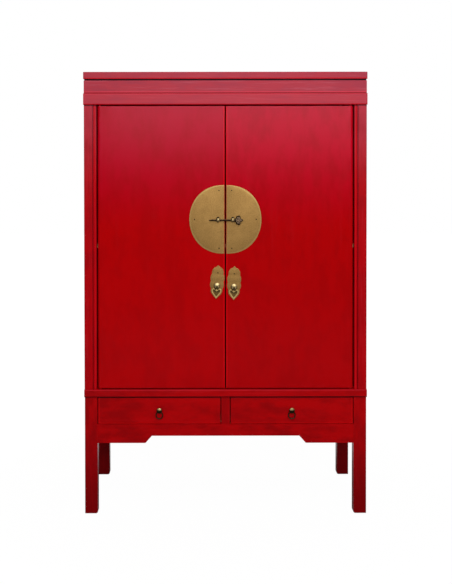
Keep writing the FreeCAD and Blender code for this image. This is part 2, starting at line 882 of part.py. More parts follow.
def make_door(side):
    """A flat door that turns on two pivots, drilled for its hardware."""
    sign = door_hardware(side)[0]
    left = "-door_outer" if side == "left" else "door_inner"
    body = new_body(side + "_door_panel", left, "door_front", "door_bottom")
    plan = sketch_on(body, "XY_Plane")
    rectangle(plan, "0", "door_width", "0", "door_thickness")
    pad(body, plan, "door_height")
    hinge_x = 0 if side == "left" else value("door_width")
    soften(body, "door_thickness * 0.475",
           lambda middle, across: near(middle.x, hinge_x) and abs(across.z) > abs(across.y))
    free_x = value("door_width") - hinge_x
    soften(body, "door_arris",
           lambda middle, across: near(middle.x, free_x) and abs(across.z) > abs(across.y))
    pivot = "door_thickness / 2" if side == "left" else "door_width - door_thickness / 2"
    for offset, gap, reverse in ((None, "door_gap_below", True), ("door_height", "door_gap_above", False)):
        plan = sketch_on(body, "XY_Plane", offset)
        circle(plan, pivot, "door_thickness / 2", "pivot_radius")
        pad(body, plan, f"{gap} + pivot_engagement", reverse)
    face = sketch_on(body, "XZ_Plane")
    plate_nails, pull_nail = nail_places(side)
    for x, z in plate_nails + [pull_nail]:
        circle(face, f"{x} - ({left})", f"{z} - door_bottom", "nail_shank_radius + nail_play")
    x, z = boss_place(side)
    for x, z in ((x, z), (f"({sign} * eye_x)", "lock_z")):
        circle(face, f"{x} - ({left})", f"{z} - door_bottom", "shank_radius + shank_play")
    pocket(body, face, "shank_length + shank_play", reverse=False)
    return keep(body)


def boss_place(side):
    """The middle of the boss on the pull plate."""
    sign, pull_x, pull_z, lean = door_hardware(side)
    return leaned(pull_x, pull_z, "-boss_drop", lean)


def make_battens(side):
    """Two battens across the door's back."""
    body = new_body(side + "_door_battens", "-door_outer", "door_back", "door_bottom")
    if side == "right":
        place(body, "door_inner", "door_back", "door_bottom")
    face = sketch_on(body, "XZ_Plane")
    hinge, free = "batten_hinge_margin", "(door_width - batten_edge_margin)"
    if side == "right":
        hinge, free = "batten_edge_margin", "(door_width - batten_hinge_margin)"
    for low in ("batten_end_margin", "(door_height - batten_end_margin - batten_width)"):
        rectangle(face, hinge, free, low, f"{low} + batten_width")
    pad(body, face, "batten_thickness", reverse=True)
    soften(body, "door_arris", lambda middle, across: near(middle.y, value("batten_thickness")))
    return keep(body)


def make_lock_plate(side):
    """Half of the round plate, a little past the half circle, with a bevelled rim."""
    sign = door_hardware(side)[0]
    body = new_body(side + "_lock_plate", "0", "plate_front", "lock_z")
    face = sketch_on(body, "XZ_Plane")
    low, high = "-plate_half_height", "plate_half_height"
    edge = f"{sign} * plate_edge"
    if side == "left":
        outline(face, [(edge, high, "plate_crown"), (edge, low)])
    else:
        outline(face, [(edge, low, "plate_crown"), (edge, high)])
    pad(body, face, "plate_thickness", reverse=True)
    holes = sketch_on(body, "XZ_Plane")
    for z in ("nail_throw", "-nail_throw"):
        circle(holes, f"{sign} * nail_spread", z, "nail_shank_radius + nail_play")
    circle(holes, f"{sign} * nail_reach", "0", "nail_shank_radius + nail_play")
    circle(holes, f"{sign} * eye_x", "0", "shank_radius + shank_play")
    pocket(body, holes)
    far = value("plate_half_height / 2")
    soften(body, "plate_bevel",
           lambda middle, across: near(middle.y, 0) and abs(across.z) > far and abs(middle.x) > far,
           "Chamfer")
    return keep(body)


def make_nails(side):
    """Four round-headed nails, each with its shank in the drilled holes."""
    body = new_body(side + "_plate_nails")
    places, pull_nail = nail_places(side)
    rows = [("plate_front", places), ("pull_front", [pull_nail])]
    for face_y, spots in rows:
        heads = sketch_on(body, "XZ_Plane", f"-1 * ({face_y})")
        for x, z in spots:
            circle(heads, x, z, "nail_head_radius")
        pad(body, heads, "nail_head_height")
        shanks = sketch_on(body, "XZ_Plane", f"-1 * ({face_y})")
        for x, z in spots:
            circle(shanks, x, z, "nail_shank_radius")
        pad(body, shanks, "nail_length", reverse=True)
    rims = [value(f"{face_y} - nail_head_height") for face_y, spots in rows]
    soften(body, "nail_head_height * 0.8",
           lambda middle, across: any(near(middle.y, rim) for rim in rims))
    return keep(body)


def make_lock_eye(side):
    """A thick ring seen edge-on, flat where it meets the plate, on a shank through the door."""
    sign = door_hardware(side)[0]
    body = new_body(side + "_lock_eye", f"{sign} * eye_x", "eye_y", "lock_z")
    section = sketch_on(body, "XY_Plane")
    half, shoulder = "eye_width / 2", "eye_radius - eye_crown"
    outline(section, [
        (f"-{half}", "eye_hole_radius"),
        (half, "eye_hole_radius"),
        (half, shoulder, "eye_crown"),
        (f"-{half}", shoulder),
    ])
    turn(body, section, "H_Axis")
    flat = sketch_on(body, "YZ_Plane")
    rectangle(flat, "eye_stand", "eye_radius + overrun", "-eye_radius", "eye_radius")
    pocket(body, flat)
    shank = sketch_on(body, "XZ_Plane", "-1 * eye_stand")
    circle(shank, "0", "0", "shank_radius")
    pad(body, shank, "shank_length", reverse=True)
    return keep(body)


def make_lock_pin():
    """The tapered pin through both eyes, with a collar and a flower-shaped head."""
    body = new_body("lock_pin", "0", "eye_y", "pin_z")
    side = sketch_on(body, "XY_Plane")
    tip_end = "pin_tip_length - pin_left_reach"
    collar_end = "collar_start + pin_collar_length"
    outline(side, [
        ("-pin_left_reach", "0"),
        (collar_end, "0"),
        (collar_end, "pin_collar_radius"),
        ("collar_start", "pin_collar_radius"),
        ("collar_start", "pin_radius"),
        (tip_end, "pin_radius"),
        ("-pin_left_reach", "pin_tip_radius"),
    ])
    turn(body, side, "H_Axis")
    tip = "(pin_head_start + pin_head_length)"
    heel_x = "(pin_head_start + pin_heel_radius)"
    lobe_x = f"({tip} - pin_lobe_radius - pin_lobe_offset)"
    for x, z, radius in (
        (heel_x, "0", "pin_heel_radius"),
        (lobe_x, "pin_lobe_offset", "pin_lobe_radius"),
        (lobe_x, "-pin_lobe_offset", "pin_lobe_radius"),
    ):
        lobe = sketch_on(body, "XZ_Plane")
        circle(lobe, x, z, radius)
        pad(body, lobe, "pin_head_thickness", both_ways=True)
    point = sketch_on(body, "XZ_Plane")
    outline(point, [
        (heel_x, "0"),
        (f"{tip} - pin_lobe_radius", "-pin_point_half_height"),
        (tip, "0"),
        (f"{tip} - pin_lobe_radius", "pin_point_half_height"),
    ])
    pad(body, point, "pin_head_thickness", both_ways=True)
    return keep(body)


def share_outline(shares, half_width, length, sign=1):
    """Corners of half an outline from a table of shares, on the right or the left side."""
    return [
        (f"{sign * across:g} * {half_width}", f"{-down:g} * {length}", crown)
        for across, down, crown in shares
    ]


def symmetric_outline(shares, half_width, length, closed_at_top):
    """A whole outline from half of one: down the left side, then up the right."""
    left = share_outline(shares, half_width, length, -1)
    right = share_outline(shares, half_width, length)
    corners = [(x, y, crown) for x, y, crown in left]
    top = 1 if closed_at_top else 0
    upward = right[top:-1] if closed_at_top else right[:-1]
    crowns = [crown for x, y, crown in right[:-1]]
    corners[-1] = (corners[-1][0], corners[-1][1], crowns[-1])
    climb = list(reversed(upward))
    leaving = list(reversed(crowns))[1:]
    if not closed_at_top:
        leaving = leaving + [0]
    corners += [(x, y, crown) for (x, y, old), crown in zip(climb, leaving)]
    return [
        (tidy(x), tidy(y), f"{crown:g} * {half_width}") if crown else (tidy(x), tidy(y))
        for x, y, crown in corners
    ]


def tidy(text):
    """A place on an axis is written as 0, so that its point is held on the axis."""
    return "0" if text.startswith("0 *") or text.startswith("-0 *") else text


def make_pull_plate(side):
    """The scalloped plate, leaned as it hangs."""
    sign, pull_x, pull_z, lean = door_hardware(side)
    x, z = leaned(pull_x, pull_z, "pull_plate_length / 2", lean)
    body = new_body(side + "_pull_plate", x, "pull_front", z, lean)
    face = sketch_on(body, "XZ_Plane")
    outline(face, symmetric_outline(
        PULL_OUTLINE_SHARES, "(pull_plate_width / 2)", "pull_plate_length", True))
    pad(body, face, "pull_plate_thickness", reverse=True)
    holes = sketch_on(body, "XZ_Plane")
    circle(holes, "0", "pull_nail_rise - pull_plate_length / 2", "nail_shank_radius + nail_play")
    circle(holes, "0", "-boss_drop - pull_plate_length / 2", "shank_radius + shank_play")
    pocket(body, holes)
    return keep(body)


def dome_outline(rose_radius, rose_thickness, neck_radius, neck_length, radius, rim_stand, stand):
    """Half the section of a boss: rose, neck, sloped underside, rim and crown."""
    return [
        ("0", f"-{stand}", f"({stand} - {rim_stand}) * 0.22"),
        (radius, f"-{rim_stand}"),
        (neck_radius, f"-{neck_length}"),
        (neck_radius, f"-{rose_thickness}"),
        (rose_radius, f"-{rose_thickness}"),
        (rose_radius, "0"),
        ("0", "0"),
    ]


def make_boss(side):
    """The domed boss: its shank goes through the plate, and the ears below it hold the pull's pivot."""
    x, z = boss_place(side)
    lean = door_hardware(side)[3]
    body = new_body(side + "_pull_boss", x, "pull_front", z, lean)
    section = sketch_on(body, "XY_Plane")
    outline(section, dome_outline("boss_rose_radius", "boss_rose_thickness", "boss_neck_radius",
                                  "boss_neck_length", "boss_radius", "boss_rim_stand", "boss_stand"))
    turn(body, section, "V_Axis")
    hole = sketch_on(body, "XZ_Plane", "boss_stand")
    circle(hole, "0", "-boss_hole_drop", "boss_hole_radius")
    pocket(body, hole, "boss_hole_depth")
    ears = sketch_on(body, "XZ_Plane")
    reach = "(boss_slot_half + boss_ear_width)"
    low = "-pull_pivot_drop - pull_pivot_radius - boss_ear_wall"
    rectangle(ears, f"-{reach}", reach, low, "0")
    pad(body, ears, "pull_pivot_stand + pull_pivot_radius + boss_ear_wall")
    slot = sketch_on(body, "XZ_Plane")
    rectangle(slot, "-boss_slot_half", "boss_slot_half", f"{low} - overrun",
              "boss_slot_rise + knuckle_radius - pull_pivot_drop")
    pocket(body, slot)
    pivot = sketch_on(body, "YZ_Plane")
    circle(pivot, "-pull_pivot_stand", "-pull_pivot_drop", "pull_pivot_radius")
    pad(body, pivot, "boss_slot_half * 2 + boss_ear_width", both_ways=True)
    shank = sketch_on(body, "XZ_Plane")
    circle(shank, "0", "0", "shank_radius")
    pad(body, shank, "shank_length", reverse=True)
    return keep(body)


def make_heart(side):
    """The open heart, whose knuckle turns on the boss's pivot."""
    x, z = boss_place(side)
    lean = door_hardware(side)[3]
    x, z = leaned(x, z, "-pull_pivot_drop", lean)
    body = new_body(side + "_heart_pull", x, "pull_front - pull_pivot_stand", z, lean)
    face = sketch_on(body, "XZ_Plane")
    outline(face, symmetric_outline(HEART_EDGE_SHARES, "heart_half_width", "heart_length", False))
    outline(face, symmetric_outline(HEART_OPENING_SHARES, "heart_half_width", "heart_length", True))
    pad(body, face, "heart_thickness", both_ways=True)
    knuckle = sketch_on(body, "YZ_Plane")
    circle(knuckle, "0", "0", "knuckle_radius")
    pad(body, knuckle, "knuckle_width", both_ways=True)
    hole = sketch_on(body, "YZ_Plane")
    circle(hole, "0", "0", "pull_pivot_radius + pull_pivot_play")
    pocket(body, hole)
    return keep(body)


def make_drawer():
    """The left drawer: a front, two sides, a back and a bottom in grooves. The right is its twin."""
    groove_low = "bottom_low - drawer_groove_play"
    groove_high = "bottom_low + drawer_bottom_thickness + drawer_groove_play"
    far = "drawer_end"
    side_top = "drawer_low + drawer_side_height"
    outer_face = "drawer_side_thickness - drawer_outer"
    inner_face = "-drawer_inner - drawer_side_thickness"
    reach = "(drawer_groove_depth + drawer_groove_play)"
    front = new_body("left_drawer_front", "-drawer_outer", "drawer_face", "drawer_low")
    plan = sketch_on(front, "XY_Plane")
    rectangle(plan, "0", "drawer_outer - drawer_inner", "0", "drawer_front_thickness")
    pad(front, plan, "drawer_height")
    soften(front, "drawer_arris", lambda middle, across: near(middle.y, 0))
    groove = sketch_on(front, "XZ_Plane", "-1 * drawer_front_thickness")
    inset = f"(drawer_side_thickness - {reach})"
    rectangle(groove, inset, f"drawer_outer - drawer_inner - {inset}",
              f"{groove_low} - drawer_low", f"{groove_high} - drawer_low")
    pocket(front, groove, reach, reverse=True)
    hole = sketch_on(front, "XZ_Plane")
    circle(hole, "drawer_outer - knob_x", "knob_z - drawer_low", "shank_radius + shank_play")
    pocket(front, hole, "shank_length + shank_play")
    pieces = [keep(front)]
    for name, left, right, cut_left, cut_right in (
        ("left_drawer_outer_side", "-drawer_outer", outer_face,
         f"{outer_face} - {reach}", f"{outer_face} + overrun"),
        ("left_drawer_inner_side", inner_face, "-drawer_inner",
         f"{inner_face} - overrun", f"{inner_face} + {reach}"),
    ):
        plank = block(name + "_plank", left, right, "drawer_behind", far, "drawer_low", side_top)
        slot = block(name + "_groove", cut_left, cut_right, "drawer_behind - overrun", f"{far} + overrun",
                     groove_low, groove_high)
        side = doc.addObject("Part::Cut", name)
        side.Base = plank
        side.Tool = slot
        pieces.append(keep(side))
    pieces.append(board("left_drawer_back", outer_face, inner_face, f"{far} - drawer_back_thickness", far,
                        "bottom_low + drawer_bottom_thickness", side_top))
    pieces.append(board("left_drawer_bottom", f"{outer_face} - drawer_groove_depth",
                        f"{inner_face} + drawer_groove_depth", "drawer_behind - drawer_groove_depth", far,
                        "bottom_low", "bottom_low + drawer_bottom_thickness"))
    for piece in pieces:
        mirrored(piece)


def make_knob_and_ring():
    """The drawer's domed knob, with an ear below it for the ring."""
    body = new_body("left_drawer_knob", "-knob_x", "drawer_face", "knob_z")
    section = sketch_on(body, "XY_Plane")
    outline(section, dome_outline("knob_rose_radius", "knob_rose_thickness", "knob_neck_radius",
                                  "knob_neck_length", "knob_radius", "knob_rim_stand", "knob_stand"))
    turn(body, section, "V_Axis")
    ear = sketch_on(body, "XZ_Plane")
    half = "knob_ear_width / 2"
    rectangle(ear, f"-{half}", half, "-ring_drop - ring_hole_radius - knob_ear_wall", "0")
    pad(body, ear, "ring_stand + ring_hole_radius + knob_ear_wall")
    hole = sketch_on(body, "YZ_Plane")
    circle(hole, "-ring_stand", "-ring_drop", "ring_hole_radius")
    pocket(body, hole)
    shank = sketch_on(body, "XZ_Plane")
    circle(shank, "0", "0", "shank_radius")
    pad(body, shank, "shank_length", reverse=True)
    mirrored(keep(body))
    ring = doc.addObject("Part::Torus", "left_drawer_ring")
    tie(ring, "Radius1", "ring_radius")
    tie(ring, "Radius2", "ring_wire_radius")
    ring.Placement = FreeCAD.Placement(Vector(), FreeCAD.Rotation(Vector(1, 0, 0), 90))
    place(ring, "-knob_x", "drawer_face - ring_stand", "ring_z - ring_radius")
    mirrored(keep(ring))


def check_and_write():
    """Stop if anything failed, then write each piece to a file of its own."""
    doc.recompute()
    for thing in doc.Objects:
        if "Invalid" in thing.State or "Error" in thing.State:
            raise RuntimeError(f"{thing.Label} failed: {thing.State}")
    for piece in kept:
        if piece.Shape.isNull() or not piece.Shape.isValid():
            raise RuntimeError(f"{piece.Label} has no sound shape")
    os.makedirs(PARTS_FOLDER, exist_ok=True)
    for piece in kept:
        piece.Shape.exportStep(os.path.join(PARTS_FOLDER, piece.Label + ".step"))
    print(len(kept), "pieces written")


make_top_board()
make_cornice_front_and_back()
make_cornice_sides()
make_front_post()
make_back_post()
make_panels()
make_waist_board()
make_shelf()
make_legs()
make_apron()
make_base_boards()
make_divider()
make_runners()
for side in ("left", "right"):
    make_door(side)
    make_battens(side)
    make_lock_plate(side)
    make_nails(side)
    make_lock_eye(side)
    make_pull_plate(side)
    make_boss(side)
    make_heart(side)
make_lock_pin()
make_drawer()
make_knob_and_ring()
check_and_write()
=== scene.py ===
import bmesh
import bpy
import json
import math
from mathutils import Matrix, Vector


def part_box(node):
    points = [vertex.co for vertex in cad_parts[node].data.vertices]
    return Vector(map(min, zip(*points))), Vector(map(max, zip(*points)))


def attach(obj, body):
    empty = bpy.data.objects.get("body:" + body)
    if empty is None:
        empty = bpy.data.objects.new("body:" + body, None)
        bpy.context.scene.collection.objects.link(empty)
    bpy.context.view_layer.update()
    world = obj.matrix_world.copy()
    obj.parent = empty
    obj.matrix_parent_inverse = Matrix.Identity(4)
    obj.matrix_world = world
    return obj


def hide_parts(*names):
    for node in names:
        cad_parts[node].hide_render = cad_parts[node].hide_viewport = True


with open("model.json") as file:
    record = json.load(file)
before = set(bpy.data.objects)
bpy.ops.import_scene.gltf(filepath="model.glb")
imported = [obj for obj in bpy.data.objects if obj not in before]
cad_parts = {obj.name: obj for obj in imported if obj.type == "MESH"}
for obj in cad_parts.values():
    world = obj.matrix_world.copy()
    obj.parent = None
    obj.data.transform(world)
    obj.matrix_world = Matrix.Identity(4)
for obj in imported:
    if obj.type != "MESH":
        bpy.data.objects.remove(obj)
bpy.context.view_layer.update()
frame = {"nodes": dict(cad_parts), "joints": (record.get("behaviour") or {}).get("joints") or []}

# The frame and the studio are in metres. Sizes of pieces and finishes are in millimetres, times MM
# where they meet the frame. Angles are in degrees. The cabinet's front faces -Y.
MM = 0.001
MERGE_DISTANCE = 2e-6
SIDES = {"left": -1, "right": 1}
JOINTS = {joint["name"]: joint for joint in frame["joints"]}
FACING_FRONT = Matrix.Rotation(math.radians(90), 4, "X")
ALONG_X = Matrix.Rotation(math.radians(90), 4, "Y")

DRAWER_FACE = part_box("left_drawer_front")[0].y
DOOR_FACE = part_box("left_door_panel")[0].y
LOCK_PLATE_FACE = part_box("left_lock_plate")[0].y
PULL_PLATE_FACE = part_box("left_pull_plate")[0].y


def level(node, end):
    """A node's lowest (0) or highest (1) height in mm."""
    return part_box(node)[end].z / MM


# Places in mm that the lacquer's lines follow.
RAIL_HEIGHT = 48.4
PIVOT_HEIGHT = 10
CAP_LOW = level("top_board", 0)
RAIL_LOW = level("front_cornice", 0)
FRIEZE_LOW = RAIL_LOW + RAIL_HEIGHT
WAIST_LOW, WAIST_TOP = level("waist_board", 0), level("waist_board", 1)
DOOR_TOP = level("left_door_panel", 1) - PIVOT_HEIGHT
DRAWER_LOW, DRAWER_TOP = level("left_drawer_front", 0), level("left_drawer_front", 1)
DOOR_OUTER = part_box("right_door_panel")[1].x / MM
DRAWER_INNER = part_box("right_drawer_front")[0].x / MM
# Across in mm: where the posts' painted bead highlight and painted groove shade lie.
BEAD_HIGHLIGHT_PLACE = (549.5, 558)
GROOVE_SHADE_PLACE = (560, 563)


# Modelling


def deselect():
    """Leave nothing selected, so that an operator acts only on what is picked next."""
    bpy.ops.object.select_all(action="DESELECT")


def choose(piece):
    """Make a piece the only one selected."""
    deselect()
    piece.select_set(True)
    bpy.context.view_layer.objects.active = piece
    return piece


def named(name):
    """The object just added, under its own name."""
    piece = bpy.context.object
    piece.name = name
    piece.data.name = name
    return piece


def edit(piece):
    choose(piece)
    bpy.ops.object.mode_set(mode="EDIT")


def leave_edit():
    bpy.ops.object.mode_set(mode="OBJECT")


def pick_corners(piece, wanted):
    """Select the corners whose place the test wants."""
    bpy.ops.mesh.select_all(action="DESELECT")
    bpy.ops.mesh.select_mode(type="VERT")
    mesh = bmesh.from_edit_mesh(piece.data)
    for corner in mesh.verts:
        corner.select_set(wanted(corner.co))
    bmesh.update_edit_mesh(piece.data)


def close_up(piece):
    """Merge doubles and turn all faces outwards."""
    edit(piece)
    bpy.ops.mesh.select_all(action="SELECT")
    bpy.ops.mesh.remove_doubles(threshold=MERGE_DISTANCE)
    bpy.ops.mesh.normals_make_consistent(inside=False)
    leave_edit()
    return piece


def smooth(piece, angle):
    """Shade the piece smooth, except over edges sharper than the angle."""
    choose(piece)
    bpy.ops.object.shade_smooth_by_angle(angle=math.radians(angle))
    return piece


def put(piece, *turns, at=(0, 0, 0)):
    """Turn and place the shape inside its mesh, so that the object stays at the origin."""
    for turn in turns:
        piece.data.transform(turn)
    piece.data.transform(Matrix.Translation(at))
    return piece


def another(piece, name):
    """A copy of a piece with a mesh of its own."""
    twin = piece.copy()
    twin.data = piece.data.copy()
    twin.name = name
    twin.data.name = name
    bpy.context.scene.collection.objects.link(twin)
    return twin


def join(name, pieces):
    choose(pieces[0])
    for piece in pieces:
        piece.select_set(True)
    bpy.ops.object.join()
    return named(name)


def turned(name, rings, segments, endless=False):
    """A piece turned about Z, extruded ring by ring from a circle: (radius, height) in mm.

    An endless one comes back to its first ring; any other is closed with a face at each end.
    """
    deselect()
    radius, height = rings[0]
    bpy.ops.mesh.primitive_circle_add(vertices=segments, radius=radius * MM, location=(0, 0, height * MM))
    piece = named(name)
    bpy.ops.object.transform_apply(location=True)
    bpy.ops.object.mode_set(mode="EDIT")
    bpy.ops.mesh.select_all(action="SELECT")
    for (old, low), (new, high) in zip(rings, rings[1:]):
        rise = (0, 0, (high - low) * MM)
        bpy.ops.mesh.extrude_edges_move(TRANSFORM_OT_translate={"value": rise})
        bpy.ops.transform.resize(value=(new / old, new / old, 1), center_override=(0, 0, high * MM))
    if not endless:
        bpy.ops.mesh.select_all(action="SELECT")
        bpy.ops.mesh.fill_holes(sides=0)
    leave_edit()
    return close_up(piece)


def block(name, low, high, rounding):
    """A block between two corners in mm, with rounded edges."""
    deselect()
    middle = [(a + b) / 2 * MM for a, b in zip(low, high)]
    bpy.ops.mesh.primitive_cube_add(size=1, location=middle)
    piece = named(name)
    piece.scale = [(b - a) * MM for a, b in zip(low, high)]
    bpy.ops.object.transform_apply(location=True, scale=True)
    edit(piece)
    bpy.ops.mesh.select_all(action="SELECT")
    bpy.ops.mesh.bevel(offset=rounding * MM, segments=3, affect="EDGES")
    leave_edit()
    return piece


def mark_painted_light(piece, rule):
    """Mark each corner from 0, painted shade, to 1, painted highlight; the rule takes mm."""
    marks = piece.data.attributes.new("wear_and_painted_light", "FLOAT", "POINT")
    for corner, mark in zip(piece.data.vertices, marks.data):
        mark.value = rule(*(corner.co / MM))
    return piece


def ramp(value, low, high):
    """0 below low, 1 above high, even between."""
    return min(max((value - low) / (high - low), 0), 1)


def cut(piece, cutter):
    """Take a cutter's shape out of a piece."""
    choose(piece)
    modifier = piece.modifiers.new("cut", "BOOLEAN")
    modifier.object = cutter
    modifier.solver = "EXACT"
    bpy.ops.object.modifier_apply(modifier="cut")
    bpy.data.objects.remove(cutter)
    return piece


def both_halves(shares, half_width, length):
    """Arcs round a shape that is the same left and right, clockwise from its top, in mm.

    Each share is a point of the right half, across and down, and how far the arc from it bulges.
    """
    right = [(across * half_width, -down * length) for across, down, crown in shares]
    crowns = [crown * half_width for across, down, crown in shares]
    left = [(-x, y) for x, y in right]
    arcs = list(zip(right, right[1:], crowns))
    arcs += [(end, start, crown) for start, end, crown in reversed(list(zip(left, left[1:], crowns)))]
    if shares[0][0]:
        arcs.append((left[0], right[0], 0))
    return arcs


def drawn_in(arcs, share, drop):
    """The same loop of arcs, smaller by a share and lower by a drop in mm."""
    smaller = []
    for start, end, crown in arcs:
        ends = [(share * x, share * y - drop) for x, y in (start, end)]
        smaller.append((*ends, share * crown))
    return smaller


def lay_loop(curve, arcs):
    """Close one loop of arcs on a flat curve; each arc bulges to the left of its way by its crown."""
    spline = curve.splines.new("BEZIER")
    spline.bezier_points.add(len(arcs) - 1)
    spline.use_cyclic_u = True
    for index, (start, end, crown) in enumerate(arcs):
        start, end = Vector(start) * MM, Vector(end) * MM
        half, rise = (end - start).length / 2, crown * MM
        along = (end - start).normalized()
        left = Vector((-along.y, along.x))
        swing = 2 * math.atan2(rise, half)
        reach = 2 / 3 * (half * half + rise * rise) / half
        leaving, arriving = spline.bezier_points[index], spline.bezier_points[(index + 1) % len(arcs)]
        leaving.handle_left_type = leaving.handle_right_type = "FREE"
        leaving.co = (*start, 0)
        leaving.handle_right = (*(start + reach * (math.cos(swing) * along + math.sin(swing) * left)), 0)
        arriving.handle_left = (*(end + reach * (math.sin(swing) * left - math.cos(swing) * along)), 0)


def cut_from_sheet(name, loops, thickness, rim, resolution, rim_steps=3):
    """A flat shape with rounded rims, its back at 0 and its face at the thickness, in mm."""
    curve = bpy.data.curves.new(name, "CURVE")
    curve.dimensions = "2D"
    curve.fill_mode = "BOTH"
    curve.resolution_u = curve.render_resolution_u = resolution
    curve.extrude = (thickness / 2 - rim) * MM
    curve.bevel_depth = rim * MM
    curve.bevel_resolution = rim_steps
    curve.offset = -rim * MM
    for loop in loops:
        lay_loop(curve, loop)
    shape = bpy.data.objects.new(name, curve)
    bpy.context.scene.collection.objects.link(shape)
    choose(shape)
    bpy.ops.object.convert(target="MESH")
    piece = named(name)
    put(piece, at=(0, 0, thickness / 2 * MM))
    return close_up(piece)


# Finishes


class Shade:
    """A socket of a finish. Sums of numbers are written as Python sums."""

    def __init__(self, finish, socket):
        self.finish = finish
        self.socket = socket

    def maths(self, operation, *values):
        return self.finish.node("Math", {"operation": operation}, dict(enumerate(values)))

    def __add__(self, other):
        return self.maths("ADD", self, other)

    def __sub__(self, other):
        return self.maths("SUBTRACT", self, other)

    def __rsub__(self, other):
        return self.maths("SUBTRACT", other, self)

    def __mul__(self, other):
        return self.maths("MULTIPLY", self, other)

    def __pow__(self, other):
        return self.maths("POWER", self, other)

    def __abs__(self):
        return self.maths("ABSOLUTE", self)

    __radd__ = __add__
    __rmul__ = __mul__


class Finish:
    """A material with its nodes."""

    def __init__(self, name, tree=None):
        if tree is None:
            self.material = bpy.data.materials.new(name)
            self.material.use_nodes = True
            tree = self.material.node_tree
        self.tree = tree
        self.tree.nodes.clear()

    def node(self, kind, settings=None, sockets=None, output=0):
        """Add a node: its settings first, then its sockets' values or links."""
        node = self.tree.nodes.new("ShaderNode" + kind)
        for name, value in (settings or {}).items():
            setattr(node, name, value)
        for name, value in (sockets or {}).items():
            if isinstance(value, Shade):
                self.tree.links.new(value.socket, node.inputs[name])
            else:
                node.inputs[name].default_value = value
        return Shade(self, node.outputs[output]) if node.outputs else None

    def noise(self, scale, detail, roughness, stretch=(1, 1, 1), shift=(0, 0, 0)):
        """A cloudy pattern from 0 to 1; a small stretch draws it out along an axis."""
        point = self.node("TexCoord", output="Object")
        place = self.node("Mapping", {}, {"Vector": point, "Scale": stretch, "Location": shift})
        sockets = {"Vector": place, "Scale": scale, "Detail": detail, "Roughness": roughness}
        return self.node("TexNoise", {}, sockets)

    def step(self, value, low, high):
        """0 below low, 1 above high, smooth between."""
        sockets = {"Value": value, 1: low, 2: high}
        return self.node("MapRange", {"interpolation_type": "SMOOTHSTEP"}, sockets)

    def axis(self, name):
        """The place along one axis, in metres."""
        point = self.node("TexCoord", output="Object")
        return self.node("SeparateXYZ", {}, {0: point}, name)

    def band(self, axis, low, high):
        """1 between two places in mm along an axis, or along the distance to the middle for |X|."""
        place = self.axis(axis[-1])
        if axis == "|X":
            place = abs(place)
        soft = LINE_SOFTNESS
        rising = self.step(place, (low - soft) * MM, (low + soft) * MM)
        return rising * (1 - self.step(place, (high - soft) * MM, (high + soft) * MM))

    def mix(self, factor, one, other):
        """One colour where the factor is 0, the other where it is 1."""
        return self.node("Mix", {"data_type": "RGBA"}, {0: factor, 6: one, 7: other}, 2)

    def bump(self, height, strength, distance):
        return self.node("Bump", {}, {"Height": height, "Strength": strength, "Distance": distance})

    def surface(self, sockets):
        shader = self.node("BsdfPrincipled", {}, sockets)
        self.node("OutputMaterial", {}, {"Surface": shader})
        return self.material


def paint(red, green, blue):
    return red, green, blue, 1


# A pattern's scale along the grain, as a share of its scale across it.
GRAIN_SHARE = 0.05
CLOUD_SHARE = 0.45

# How far a line's edges fade and how deep behind a face it ends, in mm, and how strong it is
# before it has no gaps.
LINE_SOFTNESS = 0.8
LINE_DEPTH, LINE_END = 3, 5
SOLID_LINE = 0.8


def stretched(along, share):
    """The stretch of a pattern that runs along one axis."""
    return [share if axis == along else 1 for axis in "XYZ"]


def red_lacquer(name, along, base, worn, dark, streaks, clouds, roughness=0.3, gloss=0.06,
                lines=(), fade=None, fineness=75, face=None):
    """Brushed red lacquer over wood whose grain runs along one axis.

    Each line is an axis, two places along it in mm, how strong it is and its colour: painted shade in
    a groove or gap, a painted highlight along an edge, a dark joint, or a band partly worn and partly
    painted sheen. Fade is a colour that takes over from one height to another, in mm: a painted sheen
    toward the top or painted shade toward the foot. With a face, the lines lie only on it and just
    behind it.
    """
    finish = Finish(name)
    grain, clouding = stretched(along, GRAIN_SHARE), stretched(along, CLOUD_SHARE)
    cloud = finish.noise(7, 3, 0.55, clouding, shift=(3, 1, 7))
    blotch = finish.noise(26, 3, 0.6, clouding)
    streak = finish.noise(fineness, 5, 0.68, grain)
    brushing = finish.noise(520, 2, 0.6, grain)
    if fade:
        start, end, shade = fade
        rising = finish.step(finish.axis("Z"), min(start, end) * MM, max(start, end) * MM)
        base = finish.mix(rising if end > start else 1 - rising, base, shade)
    depth = finish.step(cloud * 0.45 + blotch * 0.55, 0.4, 0.62)
    colour = finish.mix(depth * clouds, base, dark)
    thin = finish.step(streak, 0.5, 0.74)
    colour = finish.mix(thin * streaks, colour, worn)
    thick = 1 - finish.step(streak, 0.28, 0.46)
    colour = finish.mix(thick * (streaks * 0.7), colour, dark)
    for axis, low, high, strength, shade in lines:
        patchy = 0.75 + 0.5 * finish.step(streak, 0.35, 0.65) if strength < SOLID_LINE else 1
        there = finish.band(axis, low, high) * strength * patchy
        if face is not None:
            start, end = face + LINE_DEPTH * MM, face + LINE_END * MM
            there = there * (1 - finish.step(finish.axis("Y"), start, end))
        colour = finish.mix(there, colour, shade)
    height = streak * 0.6 + brushing * 0.4
    return finish.surface({
        "Base Color": colour,
        "Roughness": roughness + 0.08 * thin + 0.05 * blotch,
        "Specular IOR Level": gloss,
        "Specular Tint": paint(1, 0.74, 1),
        "Normal": finish.bump(height, 0.12, 0.0006),
    })


